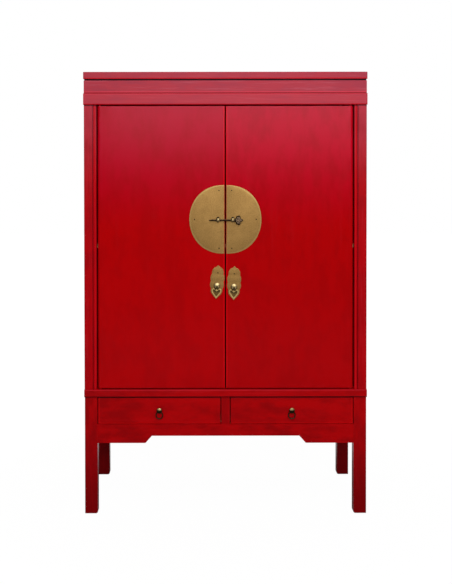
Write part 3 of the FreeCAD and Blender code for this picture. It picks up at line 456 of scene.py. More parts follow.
def door_red(side, low, high):
    """A door's lacquer: its red below, and its red at the top, where a lighter pinkish painted sheen
    takes over.
    """
    lines = [
        # Painted highlights along the hinge-side edge and beside the meeting gap, painted shade in the
        # gap, and a painted sheen along the top edge.
        ("|X", DOOR_OUTER - 3.2, DOOR_OUTER + 1, 1, paint(0.64, 0.001, 0.003)),
        ("|X", 3.2, 7.4, 0.85, paint(0.60, 0.001, 0.003)),
        ("|X", -1, 3, 1, GAP_SHADE_DARK),
        ("Z", DOOR_TOP - 7, DOOR_TOP, 0.4, paint(0.5, 0.02, 0.03)),
    ]
    return red_lacquer(side + "_door_red", "Z", paint(low, 0.0003, 0.001), paint(0.43, 0.002, 0.004),
                       paint(low * 0.76, 0.0003, 0.001), streaks=0.12, clouds=0.5, roughness=0.14,
                       lines=lines, fade=(*DOOR_SHEEN_FADE, paint(high, 0.0006, 0.011)), face=DOOR_FACE)


def bare_wood(name, along):
    """Plain unlacquered wood with growth rings and fine pores."""
    finish = Finish(name)
    grain = stretched(along, GRAIN_SHARE)
    warp = finish.noise(3, 2, 0.5, grain)
    ring = finish.noise(60, 5, 0.6, grain)
    pore = finish.noise(420, 3, 0.6, grain)
    colour = finish.mix(finish.step(ring, 0.3, 0.7), paint(0.40, 0.22, 0.10), paint(0.27, 0.13, 0.055))
    colour = finish.mix(finish.step(warp, 0.4, 0.75) * 0.4, colour, paint(0.45, 0.27, 0.14))
    colour = finish.mix(finish.step(pore, 0.62, 0.75) * 0.5, colour, paint(0.14, 0.06, 0.025))
    return finish.surface({
        "Base Color": colour,
        "Roughness": 0.62 + 0.12 * pore,
        "Specular IOR Level": 0.3,
        "Normal": finish.bump(pore * 0.6 + ring * 0.4, 0.25, 0.0008),
    })


# Tarnish in the darker spots, and painted shadow in the patches behind the hearts.
TARNISH_AND_SHADOW = paint(0.05, 0.035, 0.015)
RIM_FADE = 4
RIM_STRENGTH = 0.6


def aged_metal(name, bright, dull, roughness, patina, spots, painted_shade=None, patches=(), rim=None):
    """Cast or beaten metal with a mottled patina and darker spots.

    With a colour for painted shade, the piece's own marks say where it keeps its bright colour as a
    painted highlight and where it is painted in shade. Each patch is a painted shadow: a point, a radius
    in mm and how dark it is there. A rim is the sideways place and the height of the middle of each half
    disc, the radius in mm from which it is worn bright, and its colour.
    """
    finish = Finish(name)
    haze = finish.noise(30, 4, 0.6)
    speck = finish.noise(210, 3, 0.7)
    fleck = finish.noise(900, 2, 0.6)
    tone = finish.step(haze * 0.25 + speck * 0.75, 0.36, 0.64)
    colour = finish.mix(tone * patina, bright, dull)
    colour = finish.mix(finish.step(speck, 0.62, 0.78) * spots, colour, TARNISH_AND_SHADOW)
    rough = roughness + 0.1 * tone
    if painted_shade:
        wear_and_painted_light = finish.node("Attribute", {"attribute_name": "wear_and_painted_light"}, output="Fac")
        colour = finish.mix(wear_and_painted_light, painted_shade, colour)
        rough = rough + 0.12 * (1 - wear_and_painted_light)
    if rim:
        aside, height, radius, shade = rim
        across = abs(finish.axis("X")) - aside * MM
        up = finish.axis("Z") - height
        far = (across * across + up * up) ** 0.5
        wear_and_painted_light = finish.step(far, radius * MM, (radius + RIM_FADE) * MM)
        colour = finish.mix(wear_and_painted_light * RIM_STRENGTH, colour, shade)
    for spot, radius, strength in patches:
        place = finish.node("TexCoord", output="Object")
        far = finish.node("VectorMath", {"operation": "DISTANCE"}, {0: place, 1: spot}, "Value")
        near = 1 - finish.step(far, radius * 0.55 * MM, radius * 1.25 * MM)
        colour = finish.mix(near * strength, colour, TARNISH_AND_SHADOW)
    return finish.surface({
        "Base Color": colour,
        "Metallic": 1,
        "Roughness": rough,
        "Normal": finish.bump(speck * 0.7 + fleck * 0.3, 0.18, 0.0005),
    })


# Painted shade in gaps and grooves, and painted shadow under overhanging boards.
GAP_SHADE_DARK = paint(0.012, 0.0005, 0.001)
# Painted highlight along the lower arrises of the cap and the rail.
ARRIS_HIGHLIGHT_RED = paint(0.42, 0.0003, 0.004)

# Heights in mm between which the lacquer changes, from the first to the second: a lighter pinkish painted
# sheen toward the top of doors and posts, and painted shade toward the legs' feet.
DOOR_SHEEN_FADE = (1180, 1560)
POST_SHEEN_FADE = (1360, 1700)
LEG_SHADE_FADE = (430, 40)

# Painted shade in the groove under the cap; painted highlights along the cap's and the rail's lower
# arrises, the rail's top arris and the frieze's foot; a band on the rail partly worn and partly painted
# sheen; a dark joint between frieze and rail.
CORNICE_LINES = [
    ("Z", CAP_LOW - 5, CAP_LOW + 1.4, 1, GAP_SHADE_DARK),
    ("Z", CAP_LOW + 1.8, CAP_LOW + 6.2, 1, ARRIS_HIGHLIGHT_RED),
    ("Z", RAIL_LOW + 5, FRIEZE_LOW - 1, 0.3, paint(0.47, 0.034, 0.046)),
    ("Z", FRIEZE_LOW + 4, FRIEZE_LOW + 8, 0.7, paint(0.56, 0.03, 0.05)),
    ("Z", FRIEZE_LOW - 4.6, FRIEZE_LOW - 0.8, 0.7, paint(0.56, 0.03, 0.05)),
    ("Z", FRIEZE_LOW - 0.6, FRIEZE_LOW + 3.4, 1, paint(0.20, 0.0003, 0.0008)),
    ("Z", RAIL_LOW, RAIL_LOW + 4.4, 1, ARRIS_HIGHLIGHT_RED),
]
# The base and worn colours are pinkish grey, partly from wear and partly a painted sheen.
CORNICE_COLOURS = (paint(0.365, 0.026, 0.038), paint(0.385, 0.062, 0.085), paint(0.245, 0.030, 0.050))
CORNICE_LOOK = {"streaks": 0.85, "clouds": 0.5, "roughness": 0.34, "gloss": 0.08, "fineness": 105,
                "lines": CORNICE_LINES}
CORNICE_RED = red_lacquer("cornice_red", "X", *CORNICE_COLOURS, **CORNICE_LOOK)
CORNICE_END_RED = red_lacquer("cornice_end_red", "Y", *CORNICE_COLOURS, **CORNICE_LOOK)
# Painted highlight along the top arris and painted shadow under the board.
WAIST_RED = red_lacquer("waist_red", "X", paint(0.365, 0.0004, 0.001), paint(0.45, 0.006, 0.010),
                        paint(0.20, 0.0003, 0.001), streaks=0.6, clouds=0.55, roughness=0.34,
                        lines=[("Z", WAIST_TOP - 2.4, WAIST_TOP - 0.4, 0.7, paint(0.52, 0.010, 0.022)),
                               ("Z", WAIST_LOW - 1, WAIST_LOW + 3, 1, GAP_SHADE_DARK)])
# The right door is painted darker below and lighter toward its top than the left: painted light from the
# upper right.
DOOR_REDS = {"left": door_red("left", 0.38, 0.385), "right": door_red("right", 0.36, 0.42)}
# Painted highlight on the bead, painted shade in the groove beside it and a painted shadow under the
# rail, with a lighter pinkish painted sheen toward the top.
POST_RED = red_lacquer("post_red", "Z", paint(0.37, 0.0005, 0.002), paint(0.43, 0.012, 0.02),
                       paint(0.23, 0.0004, 0.002), streaks=0.45, clouds=0.5, roughness=0.26,
                       lines=[("|X", *BEAD_HIGHLIGHT_PLACE, 0.7, paint(0.50, 0.002, 0.006)),
                              ("|X", *GROOVE_SHADE_PLACE, 0.6, paint(0.09, 0.0005, 0.001)),
                              ("Z", RAIL_LOW - 5, RAIL_LOW + 1, 0.9, paint(0.05, 0.0005, 0.002))],
                       fade=(*POST_SHEEN_FADE, paint(0.36, 0.022, 0.034)))
# Painted shade: darker toward the feet.
LEG_RED = red_lacquer("leg_red", "Z", paint(0.36, 0.0004, 0.001), paint(0.40, 0.002, 0.004),
                      paint(0.18, 0.0003, 0.001), streaks=0.3, clouds=0.6,
                      fade=(*LEG_SHADE_FADE, paint(0.175, 0.0003, 0.0008)))
# The back legs, painted darker as shade, and darker still toward the feet.
SHADED_BACK_LEG_RED = red_lacquer("shaded_back_leg_red", "Z", paint(0.25, 0.0004, 0.001), paint(0.30, 0.002, 0.004),
                           paint(0.13, 0.0003, 0.001), streaks=0.3, clouds=0.6,
                           fade=(*LEG_SHADE_FADE, paint(0.15, 0.0003, 0.0008)))
# Painted highlights near the outer ends and along the foot, and painted shade in the gaps round each
# front and under the waist.
DRAWER_RED = red_lacquer("drawer_red", "X", paint(0.38, 0.0003, 0.0008), paint(0.42, 0.001, 0.002),
                         paint(0.21, 0.0003, 0.0008), streaks=0.25, clouds=0.7,
                         lines=[("|X", DOOR_OUTER - 7, DOOR_OUTER - 1, 0.4, paint(0.50, 0.0005, 0.001)),
                                ("|X", DOOR_OUTER - 0.6, DOOR_OUTER + 1, 1, GAP_SHADE_DARK),
                                ("|X", 0, DRAWER_INNER + 1.2, 1, GAP_SHADE_DARK),
                                ("Z", DRAWER_TOP - 1.6, DRAWER_TOP + 1, 1, GAP_SHADE_DARK),
                                ("Z", DRAWER_LOW - 0.5, DRAWER_LOW + 4, 0.5, paint(0.50, 0.0005, 0.001))],
                         face=DRAWER_FACE)
APRON_RED = red_lacquer("apron_red", "X", paint(0.36, 0.0003, 0.0008), paint(0.42, 0.001, 0.002),
                        paint(0.19, 0.0003, 0.0008), streaks=0.3, clouds=0.7)
# Painted shade in the gaps beside the divider.
DIVIDER_RED = red_lacquer("divider_red", "Z", paint(0.36, 0.0003, 0.0008), paint(0.42, 0.001, 0.002),
                          paint(0.23, 0.0003, 0.0008), streaks=0.3, clouds=0.7,
                          lines=[("|X", DRAWER_INNER - 2.6, DRAWER_INNER, 1, GAP_SHADE_DARK)])
SIDE_RED = red_lacquer("side_red", "Z", paint(0.38, 0.0005, 0.002), paint(0.43, 0.006, 0.01),
                       paint(0.24, 0.0005, 0.001), streaks=0.25, clouds=0.5)
WOOD_ACROSS = bare_wood("plain_wood_across", "X")
WOOD_DEEP = bare_wood("plain_wood_front_to_back", "Y")
BRASS_COLOURS = (paint(0.285, 0.165, 0.054), paint(0.225, 0.127, 0.039))
RIM_BRASS = aged_metal("rubbed_rim_brass", paint(0.44, 0.32, 0.13), paint(0.32, 0.22, 0.085),
                       roughness=0.42, patina=0.5, spots=0.1)
# Where the marks say, these metals keep their bright colours as painted highlights and turn to their
# darkest colour as painted shade.
BRASS_WITH_PAINTED_LIGHT = aged_metal("brass_with_painted_light", paint(0.86, 0.66, 0.33), paint(0.66, 0.48, 0.2),
                          roughness=0.4, patina=0.5, spots=0.1, painted_shade=paint(0.035, 0.022, 0.009))
OLIVE_BRASS = aged_metal("olive_brass", paint(0.56, 0.44, 0.2), paint(0.36, 0.27, 0.11),
                         roughness=0.42, patina=0.7, spots=0.3, painted_shade=paint(0.02, 0.014, 0.006))
HEART_BRASS = aged_metal("heart_brass", paint(0.52, 0.37, 0.145), paint(0.35, 0.24, 0.085),
                         roughness=0.42, patina=0.8, spots=0.3, painted_shade=paint(0.03, 0.018, 0.006))
DARK_BRONZE = aged_metal("dark_bronze", paint(0.42, 0.28, 0.17), paint(0.13, 0.085, 0.055),
                         roughness=0.38, patina=0.9, spots=0.4, painted_shade=paint(0.008, 0.004, 0.002))
RING_BRONZE = aged_metal("ring_bronze", paint(0.05, 0.036, 0.021), paint(0.012, 0.009, 0.006),
                         roughness=0.32, patina=0.8, spots=0.5)
NAIL_METAL = aged_metal("nail_metal", paint(0.02, 0.013, 0.008), paint(0.009, 0.006, 0.004),
                        roughness=0.5, patina=0.7, spots=0.4)

FINISHES = {
    CORNICE_RED: ["top_board", "front_cornice", "back_cornice"],
    CORNICE_END_RED: ["left_cornice", "right_cornice"],
    WAIST_RED: ["waist_board"],
    POST_RED: ["left_front_post", "right_front_post", "left_back_post", "right_back_post"],
    LEG_RED: ["left_front_leg", "right_front_leg"],
    SHADED_BACK_LEG_RED: ["left_back_leg", "right_back_leg"],
    SIDE_RED: ["left_side_panel", "right_side_panel", "left_base_board", "right_base_board"],
    DOOR_REDS["left"]: ["left_door_panel"],
    DOOR_REDS["right"]: ["right_door_panel"],
    DRAWER_RED: ["left_drawer_front", "right_drawer_front"],
    APRON_RED: ["front_apron"],
    DIVIDER_RED: ["drawer_divider"],
    WOOD_ACROSS: ["back_panel", "base_back_board", "left_door_battens", "right_door_battens", "shelf",
                  "left_drawer_back", "right_drawer_back", "left_drawer_bottom",
                  "right_drawer_bottom"],
    WOOD_DEEP: ["left_shelf_cleat", "right_shelf_cleat", "left_runner", "right_runner", "centre_runner"]
    + [f"{side}_drawer_{place}_side" for side in SIDES for place in ("outer", "inner")],
}
for finish, nodes in FINISHES.items():
    for node in nodes:
        mesh = frame["nodes"][node].data
        mesh.materials.clear()
        mesh.materials.append(finish)


# A face whose normal has less of Y than this looks neither straight ahead nor straight back.
FLAT_FACE = 0.985


def stand_for(piece, finish, body, node, rim=None):
    """Give a finished piece its material, and let it stand for its CAD node on that node's body.

    A rim finish goes on the faces that look neither straight ahead nor straight back.
    """
    piece.data.materials.clear()
    piece.data.materials.append(finish)
    if rim:
        piece.data.materials.append(rim)
        for face in piece.data.polygons:
            face.material_index = int(abs(face.normal.y) < FLAT_FACE)
    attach(piece, body)
    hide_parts(node)
    return piece


# The round lock plate, its nails and the eyes for the pin


PLATE_HALF_HEIGHT = 145.2
PLATE_CROWN = 148.5
PLATE_EDGE = 4.4
PLATE_THICKNESS = 2
PLATE_RIM = 0.9
RUBBED_WIDTH = 6
NAIL_SPREAD = 27
NAIL_THROW = 122.5
NAIL_REACH = 131
NAIL_TILTS = (3, -4, 2, -3)
NAIL_SINK = 0.15
EYE_X = 31
EYE_STAND = 9.5
SHANK = 2.5
SHANK_LENGTH = 14

lock_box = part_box("left_lock_plate")
LOCK_Z = (lock_box[0].z + lock_box[1].z) / 2
EYE_Y = LOCK_PLATE_FACE - EYE_STAND * MM
PIN_Z = (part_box("lock_pin")[0].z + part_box("lock_pin")[1].z) / 2
BRASS = aged_metal("satin_brass", *BRASS_COLOURS, roughness=0.48, patina=0.9, spots=0.14,
                   rim=(PLATE_EDGE + PLATE_CROWN - PLATE_HALF_HEIGHT, LOCK_Z,
                        PLATE_HALF_HEIGHT - RUBBED_WIDTH, paint(0.37, 0.25, 0.088)))


def lock_plate(side, sign):
    """Half of a round plate with a rubbed rim, cut straight beside the gap between the doors."""
    top, foot = (sign * PLATE_EDGE, PLATE_HALF_HEIGHT), (sign * PLATE_EDGE, -PLATE_HALF_HEIGHT)
    first, last = (top, foot) if sign > 0 else (foot, top)
    half = [(first, last, PLATE_CROWN), (last, first, 0)]
    piece = cut_from_sheet(side + "_lock_half", [half], PLATE_THICKNESS, PLATE_RIM, resolution=96)
    put(piece, FACING_FRONT, at=(0, LOCK_PLATE_FACE + PLATE_THICKNESS * MM, LOCK_Z))
    smooth(piece, angle=28)
    return stand_for(piece, BRASS, side + "_door", side + "_lock_plate", rim=RIM_BRASS)


NAIL_RINGS = [(1, -11), (1, -0.2), (2.7, -0.2), (2.75, 0.1), (2.45, 0.6), (1.8, 0.95), (0.9, 1.12),
              (0.2, 1.16)]


def plate_nails(side, sign):
    """Three nails on the lock plate and one on the pull plate, each driven a little differently."""
    head = turned("nail", NAIL_RINGS, segments=20)
    spots = [
        (sign * NAIL_SPREAD * MM, LOCK_PLATE_FACE, LOCK_Z + NAIL_THROW * MM),
        (sign * NAIL_SPREAD * MM, LOCK_PLATE_FACE, LOCK_Z - NAIL_THROW * MM),
        (sign * NAIL_REACH * MM, LOCK_PLATE_FACE, LOCK_Z),
        PULLS[side]["nail"],
    ]
    nails = []
    for (x, y, z), tilt in zip(spots, NAIL_TILTS):
        nail = another(head, "nail_copy")
        leaning = Matrix.Rotation(math.radians(tilt), 4, "X")
        nails.append(put(nail, leaning, FACING_FRONT, at=(x, y + NAIL_SINK * MM, z)))
    bpy.data.objects.remove(head)
    piece = smooth(join(side + "_nails", nails), angle=50)
    return stand_for(piece, NAIL_METAL, side + "_door", side + "_plate_nails")


EYE_RINGS = [(6.2, -5), (6.6, -5.55), (7.6, -5.75), (8.6, -5.5), (9.8, -4.4), (10.9, -2.6), (11.4, 0),
             (10.9, 2.6), (9.8, 4.4), (8.6, 5.5), (7.6, 5.75), (6.6, 5.55), (6.2, 5), (6.2, -5)]
COLLAR_RINGS = [(SHANK, -SHANK_LENGTH), (SHANK, -1), (6.4, -1), (6.8, 0.2), (6.2, 1.2), (5, 1.8),
                (4, 2.6)]


def eye_painted_light(x, y, z):
    """Painted highlight in front at its middle height, painted shade above, below and behind."""
    return 0.62 * ramp(-abs(z), -8, -5) * ramp(-y, 0, 4)


def lock_eye(side, sign):
    """A crowned ring seen edge-on, on a shank and a small collar."""
    ring = turned("eye_ring", EYE_RINGS, segments=56, endless=True)
    put(ring, ALONG_X)
    edit(ring)
    bpy.ops.mesh.select_all(action="SELECT")
    bpy.ops.mesh.bisect(plane_co=(0, EYE_STAND * MM, 0), plane_no=(0, 1, 0), clear_outer=True,
                        use_fill=True)
    leave_edit()
    collar = turned("eye_collar", COLLAR_RINGS, segments=36)
    put(collar, FACING_FRONT, at=(0, EYE_STAND * MM, 0))
    piece = close_up(join(side + "_eye", [ring, collar]))
    mark_painted_light(piece, eye_painted_light)
    put(piece, at=(sign * EYE_X * MM, EYE_Y, LOCK_Z))
    smooth(piece, angle=40)
    return stand_for(piece, BRASS_WITH_PAINTED_LIGHT, side + "_door", side + "_lock_eye")


# The pin with its flower-shaped head


PIN_RINGS = [(0.8, -69.2), (1.5, -68.9), (2, -68), (2.7, -64), (3.2, -58.5), (3.5, -54), (3.5, 34.4),
             (3, 35.4), (3, 36.4), (3.6, 36.9), (4.4, 37.5), (4.75, 38.6), (4.3, 39.8), (3.1, 40.5),
             (3.1, 41.5), (3.9, 42.4), (4.4, 44), (3.9, 45.6), (2, 47)]
HEAD_START = 38.6
HEAD_SHARES = [
    (0.000, 0.000, 0.000),
    (0.250, 0.000, 0.060),
    (0.470, 0.090, 0.180),
    (0.300, 0.250, 0.030),
    (0.560, 0.220, 0.220),
    (1.000, 0.350, 0.300),
    (0.660, 0.670, 0.010),
    (0.540, 0.610, 0.000),
    (0.330, 0.790, 0.040),
    (0.000, 1.000, 0.000),
]
HEAD_HALF = 17.4
HEAD_LENGTH = 37.3
HEAD_THICKNESS = 4.6
HEAD_OUTLINE = 6.4
HEAD_RIM = 0.8
HEAD_INSIDE_SHARE = 0.76
HEAD_DROP_SHARE = 0.55
FIELD_LIGHT = 0.5

# Each bead's place along the head and across it, and its radius, in mm.
HEAD_BEADS = ((14.5, 9, 2.9), (14.5, -9, 2.9), (16, 0, 3.2), (25.5, 0, 2.2), (7, 0, 2))
BEAD_SINK = 0.3
BEAD_TOP_ANGLE = 84
BEAD_STEPS = 7


def bead_rings(radius):
    """Rings of a round bead, from its foot almost to its top."""
    angles = [math.radians(BEAD_TOP_ANGLE * step / BEAD_STEPS) for step in range(BEAD_STEPS + 1)]
    return [(radius * math.cos(angle), radius * math.sin(angle)) for angle in angles]


def shaft_painted_light(x, y, z):
    """Painted highlight along the upper side."""
    return 0.55 * ramp(z, 0.4, 2.2)


def lock_pin():
    """The tapered pin, turned, with a flat cast head: lobes, a point and a raised outline."""
    shaft = turned("pin_shaft", PIN_RINGS, segments=32)
    put(shaft, ALONG_X)
    mark_painted_light(shaft, shaft_painted_light)
    outer = both_halves(HEAD_SHARES, HEAD_HALF, HEAD_LENGTH)
    drop = HEAD_LENGTH * (1 - HEAD_INSIDE_SHARE) * HEAD_DROP_SHARE
    inner = drawn_in(outer, HEAD_INSIDE_SHARE, drop)
    lengthwise = Matrix.Rotation(math.radians(90), 4, "Z")
    parts = [shaft]
    # The field is marked half bright, the raised outline dark and the beads bright: painted highlights
    # and painted shade.
    for name, loops, thickness, light in (("head_field", [outer], HEAD_THICKNESS, FIELD_LIGHT),
                                          ("head_outline", [outer, inner], HEAD_OUTLINE, 0)):
        sheet = cut_from_sheet(name, loops, thickness, HEAD_RIM, resolution=6)
        mark_painted_light(sheet, lambda x, y, z: light)
        parts.append(put(sheet, lengthwise, FACING_FRONT, at=(HEAD_START * MM, thickness / 2 * MM, 0)))
    front = -HEAD_THICKNESS / 2 * MM
    for along, across, radius in HEAD_BEADS:
        spot = ((HEAD_START + along) * MM, front + BEAD_SINK * MM, across * MM)
        bead = mark_painted_light(turned("bead", bead_rings(radius), segments=20), lambda x, y, z: 1)
        parts.append(put(bead, FACING_FRONT, at=spot))
    piece = join("pin_with_head", parts)
    put(piece, at=(0, EYE_Y, PIN_Z))
    smooth(piece, angle=42)
    return stand_for(piece, DARK_BRONZE, "lock_pin", "lock_pin")


# The door pulls


PLATE_SHARES = [
    (0.000, 0.000, -0.030),
    (0.290, 0.060, 0.150),
    (0.830, 0.220, 0.010),
    (0.820, 0.275, 0.150),
    (0.885, 0.500, 0.150),
    (0.800, 0.715, 0.070),
    (0.700, 0.862, 0.010),
    (0.280, 0.962, -0.015),
    (0.000, 1.000, 0.000),
]
PULL_HALF_WIDTH = 29.7
PULL_LENGTH = 141
PULL_THICKNESS = 1.6
PULL_RIM = 0.7
BOSS_ABOVE_PIVOT = 15
PLATE_ABOVE_BOSS = 16.1
NAIL_ABOVE_PLATE_MIDDLE = 37.5
PIVOT_STAND = 4


def pull_frame(side):
    """Where a pull's parts stand, from its hinge in the record."""
    joint = JOINTS[side + "_pull_hinge"]
    axis = Vector(joint["axis"])
    lean = math.atan2(axis.z, -axis.x)
    up = Vector((math.sin(lean), 0, math.cos(lean)))
    pivot = Vector(joint["pos_m"])
    boss = pivot + up * BOSS_ABOVE_PIVOT * MM
    boss.y = PULL_PLATE_FACE
    middle = boss + up * PLATE_ABOVE_BOSS * MM
    return {"lean": lean, "pivot": pivot, "boss": boss, "middle": middle,
            "nail": middle + up * NAIL_ABOVE_PLATE_MIDDLE * MM, "top": middle + up * PULL_LENGTH / 2 * MM}


PULLS = {side: pull_frame(side) for side in SIDES}

# Painted shadow that each heart casts on its plate: across and up from the pivot, a radius in mm, how
# dark.
SHADED_SPOTS = ((-9, -8, 8.2, 0.9), (9, -8, 8.2, 0.9), (-4, -11, 6.6, 0.9), (4, -11, 6.6, 0.9),
                (0, -20, 10, 0.5))


def under_the_heart(side):
    """The shaded spots of one plate: a point, a radius in mm and how dark it is."""
    spot = PULLS[side]
    turn = Matrix.Rotation(spot["lean"], 4, "Y")
    return [(spot["pivot"] + turn @ Vector((x * MM, 0, z * MM)), radius, strength)
            for x, z, radius, strength in SHADED_SPOTS]


# The patches are painted shadow behind the hearts.
PULL_BRASS = aged_metal("pull_plate_brass", *BRASS_COLOURS, roughness=0.48, patina=1, spots=0.3,
                        patches=under_the_heart("left") + under_the_heart("right"))


def pull_plate(side):
    """The scalloped plate with a rolled rim."""
    arcs = both_halves(PLATE_SHARES, PULL_HALF_WIDTH, PULL_LENGTH)
    piece = cut_from_sheet(side + "_scalloped_plate", [arcs], PULL_THICKNESS, PULL_RIM, resolution=8)
    spot = PULLS[side]
    put(piece, FACING_FRONT, Matrix.Rotation(spot["lean"], 4, "Y"),
        at=spot["top"] + Vector((0, PULL_THICKNESS * MM, 0)))
    smooth(piece, angle=30)
    return stand_for(piece, PULL_BRASS, side + "_door", side + "_pull_plate", rim=RIM_BRASS)


BOSS_RINGS = [(SHANK, -SHANK_LENGTH), (SHANK, -0.8), (8, -0.8), (8.2, 0.3), (7.6, 1), (6.2, 1.3),
              (5.8, 2.2), (5.9, 7.3), (7.2, 8.1), (11.6, 10.1), (12.6, 10.7), (12.8, 11.3), (12.3, 12),
              (10.8, 13), (8.4, 14), (5.4, 14.7), (2.4, 15), (0.4, 15.05)]
BOSS_HOLE_RADIUS = 3.2
BOSS_HOLE_DROP = 5
BOSS_HOLE_EDGE = 0.5
BOSS_HOLE_RINGS = [(0.3, 7), (1.5, 7.4), (2.5, 8.6), (BOSS_HOLE_RADIUS, 10.4), (BOSS_HOLE_RADIUS, 13.2),
                   (3.6, 14.4), (5, 16.5)]
EAR_INNER = 3.8
EAR_OUTER = 5.8
EAR_LOW = -17.4
EAR_TOP = -2
EAR_STAND = 6.4
EAR_ROUNDING = 0.7
PIVOT_RINGS = [(0.4, -6.9), (1.1, -6.6), (1.7, -6.1), (1.7, -5.7), (1.2, -5.6), (1.2, 5.6), (1.7, 5.7),
               (1.7, 6.1), (1.1, 6.6), (0.4, 6.9)]


def boss_painted_light(x, y, z):
    """Painted highlight over the upper crown, painted shade at the sides, under the rim and in the hole.
    """
    out = math.hypot(x, y)
    crown = 0.85 * ramp(y, 2.5, 5.5) * ramp(z, 8, 9.6) * (1 - 0.35 * ramp(y, 8.5, 11.5))
    arms = 0.46 * ramp(z, 8.6, 10.4) * ramp(-out, -12.2, -10.4)
    in_hole = math.hypot(x, y + BOSS_HOLE_DROP) < BOSS_HOLE_RADIUS + BOSS_HOLE_EDGE
    return 0 if in_hole else max(crown, arms)


def pull_boss(side):
    """The boss: a domed hood with a round hole low in its face, and two ears that hold the pivot."""
    dome = turned("boss_dome", BOSS_RINGS, segments=56)
    hole = turned("boss_hole", BOSS_HOLE_RINGS, segments=32)
    put(hole, at=(0, -BOSS_HOLE_DROP * MM, 0))
    cut(dome, hole)
    parts = [dome]
    for sign in SIDES.values():
        near_x, far_x = sorted((sign * EAR_INNER, sign * EAR_OUTER))
        parts.append(block("ear", (near_x, EAR_LOW, 0), (far_x, EAR_TOP, EAR_STAND), EAR_ROUNDING))
    barrel = turned("pivot", PIVOT_RINGS, segments=24)
    parts.append(put(barrel, ALONG_X, at=(0, -BOSS_ABOVE_PIVOT * MM, PIVOT_STAND * MM)))
    piece = close_up(join(side + "_boss", parts))
    mark_painted_light(piece, boss_painted_light)
    spot = PULLS[side]
    put(piece, FACING_FRONT, Matrix.Rotation(spot["lean"], 4, "Y"), at=spot["boss"])
    smooth(piece, angle=38)
    return stand_for(piece, BRASS_WITH_PAINTED_LIGHT, side + "_door", side + "_pull_boss")


HEART_SHARES = [
    (0.152, 0.000, 0.000),
    (0.152, 0.093, 0.000),
    (0.314, 0.075, 0.048),
    (0.571, -0.072, 0.152),
    (1.000, 0.182, 0.040),
    (0.819, 0.440, 0.000),
    (0.000, 1.000, 0.000),
]
OPENING_SHARES = [
    (0.000, 0.279, 0.020),
    (0.548, 0.047, 0.067),
    (0.724, 0.186, 0.030),
    (0.571, 0.390, 0.000),
    (0.000, 0.722, 0.000),
]
HEART_HALF = 21
HEART_LENGTH = 43
HEART_THICKNESS = 3.2
HEART_RIM = 1.35
KNUCKLE_RINGS = [(1.3, -3.2), (2.1, -3.2), (2.4, -2.9), (2.4, -1), (2.15, -0.6), (2.15, 0.6), (2.4, 1),
                 (2.4, 2.9), (2.1, 3.2), (1.3, 3.2), (1.3, -3.2)]


def heart_painted_light(x, y, z):
    """Painted highlight on the band's face, painted shade round its edges and behind."""
    return ramp(z, 1.8, 2.9)


def heart_pull(side):
    """The open heart with a rounded band, hanging from its knuckle."""
    outer = both_halves(HEART_SHARES, HEART_HALF, HEART_LENGTH)
    opening = both_halves(OPENING_SHARES, HEART_HALF, HEART_LENGTH)
    band = cut_from_sheet("heart_band", [outer, opening], HEART_THICKNESS, HEART_RIM, resolution=10,
                          rim_steps=4)
    mark_painted_light(band, heart_painted_light)
    put(band, FACING_FRONT, at=(0, HEART_THICKNESS / 2 * MM, 0))
    knuckle = turned("knuckle", KNUCKLE_RINGS, segments=28, endless=True)
    put(knuckle, ALONG_X)
    piece = join(side + "_heart", [band, knuckle])
    spot = PULLS[side]
    put(piece, Matrix.Rotation(spot["lean"], 4, "Y"), at=spot["pivot"])
    smooth(piece, angle=40)
    return stand_for(piece, HEART_BRASS, side + "_pull", side + "_heart_pull")


# The drawers' knobs and rings


KNOB_RINGS = [(SHANK, -SHANK_LENGTH), (SHANK, -0.8), (8, -0.8), (8.2, 0.3), (7.4, 1), (4.6, 1.4),
              (4, 2.4), (4, 8.8), (5.2, 9.6), (10.4, 11), (11.4, 11.6), (11.6, 12.2), (11, 12.9),
              (9.4, 13.7), (6.8, 14.4), (3.8, 14.85), (0.4, 15)]
KNOB_ABOVE_RING = 6.9
KNOB_EAR_HALF = 3
KNOB_EAR_TOP = -1
KNOB_EAR_WALL = 1.6
EAR_HOLE = 2.9
EAR_HOLE_FLARE = 0.5
DRILL_RINGS = [(EAR_HOLE + EAR_HOLE_FLARE, -4), (EAR_HOLE, -2.6), (EAR_HOLE, 2.6),
               (EAR_HOLE + EAR_HOLE_FLARE, 4)]
RING_STAND = 5
RING_RADIUS = 14.2
RING_WIRE = 2.5
WORN_ABOVE_SHARE = 0.86
WORN_SHARE = 0.9
WORN_REACH = 9


def knob_painted_light(x, y, z):
    """Painted highlight over the upper crown, painted shade at the sides, below and under the rim."""
    return 0.7 * ramp(y, 0, 5) * ramp(z, 9, 11.2) * ramp(-abs(x), -11, -6)


def drawer_knob(side):
    """A domed knob, and below it an ear with a hole for the ring."""
    joint = Vector(JOINTS[side + "_ring_hinge"]["pos_m"])
    dome = turned("knob_dome", KNOB_RINGS, segments=48)
    low = -KNOB_ABOVE_RING - EAR_HOLE - KNOB_EAR_WALL
    front = RING_STAND + EAR_HOLE + KNOB_EAR_WALL
    ear = block("knob_ear", (-KNOB_EAR_HALF, low, 0), (KNOB_EAR_HALF, KNOB_EAR_TOP, front), EAR_ROUNDING)
    drill = turned("drill", DRILL_RINGS, segments=32)
    put(drill, ALONG_X, at=(0, -KNOB_ABOVE_RING * MM, RING_STAND * MM))
    cut(ear, drill)
    piece = close_up(join(side + "_knob", [dome, ear]))
    mark_painted_light(piece, knob_painted_light)
    put(piece, FACING_FRONT, at=(joint.x, DRAWER_FACE, joint.z + KNOB_ABOVE_RING * MM))
    smooth(piece, angle=38)
    return stand_for(piece, OLIVE_BRASS, side + "_drawer", side + "_drawer_knob")


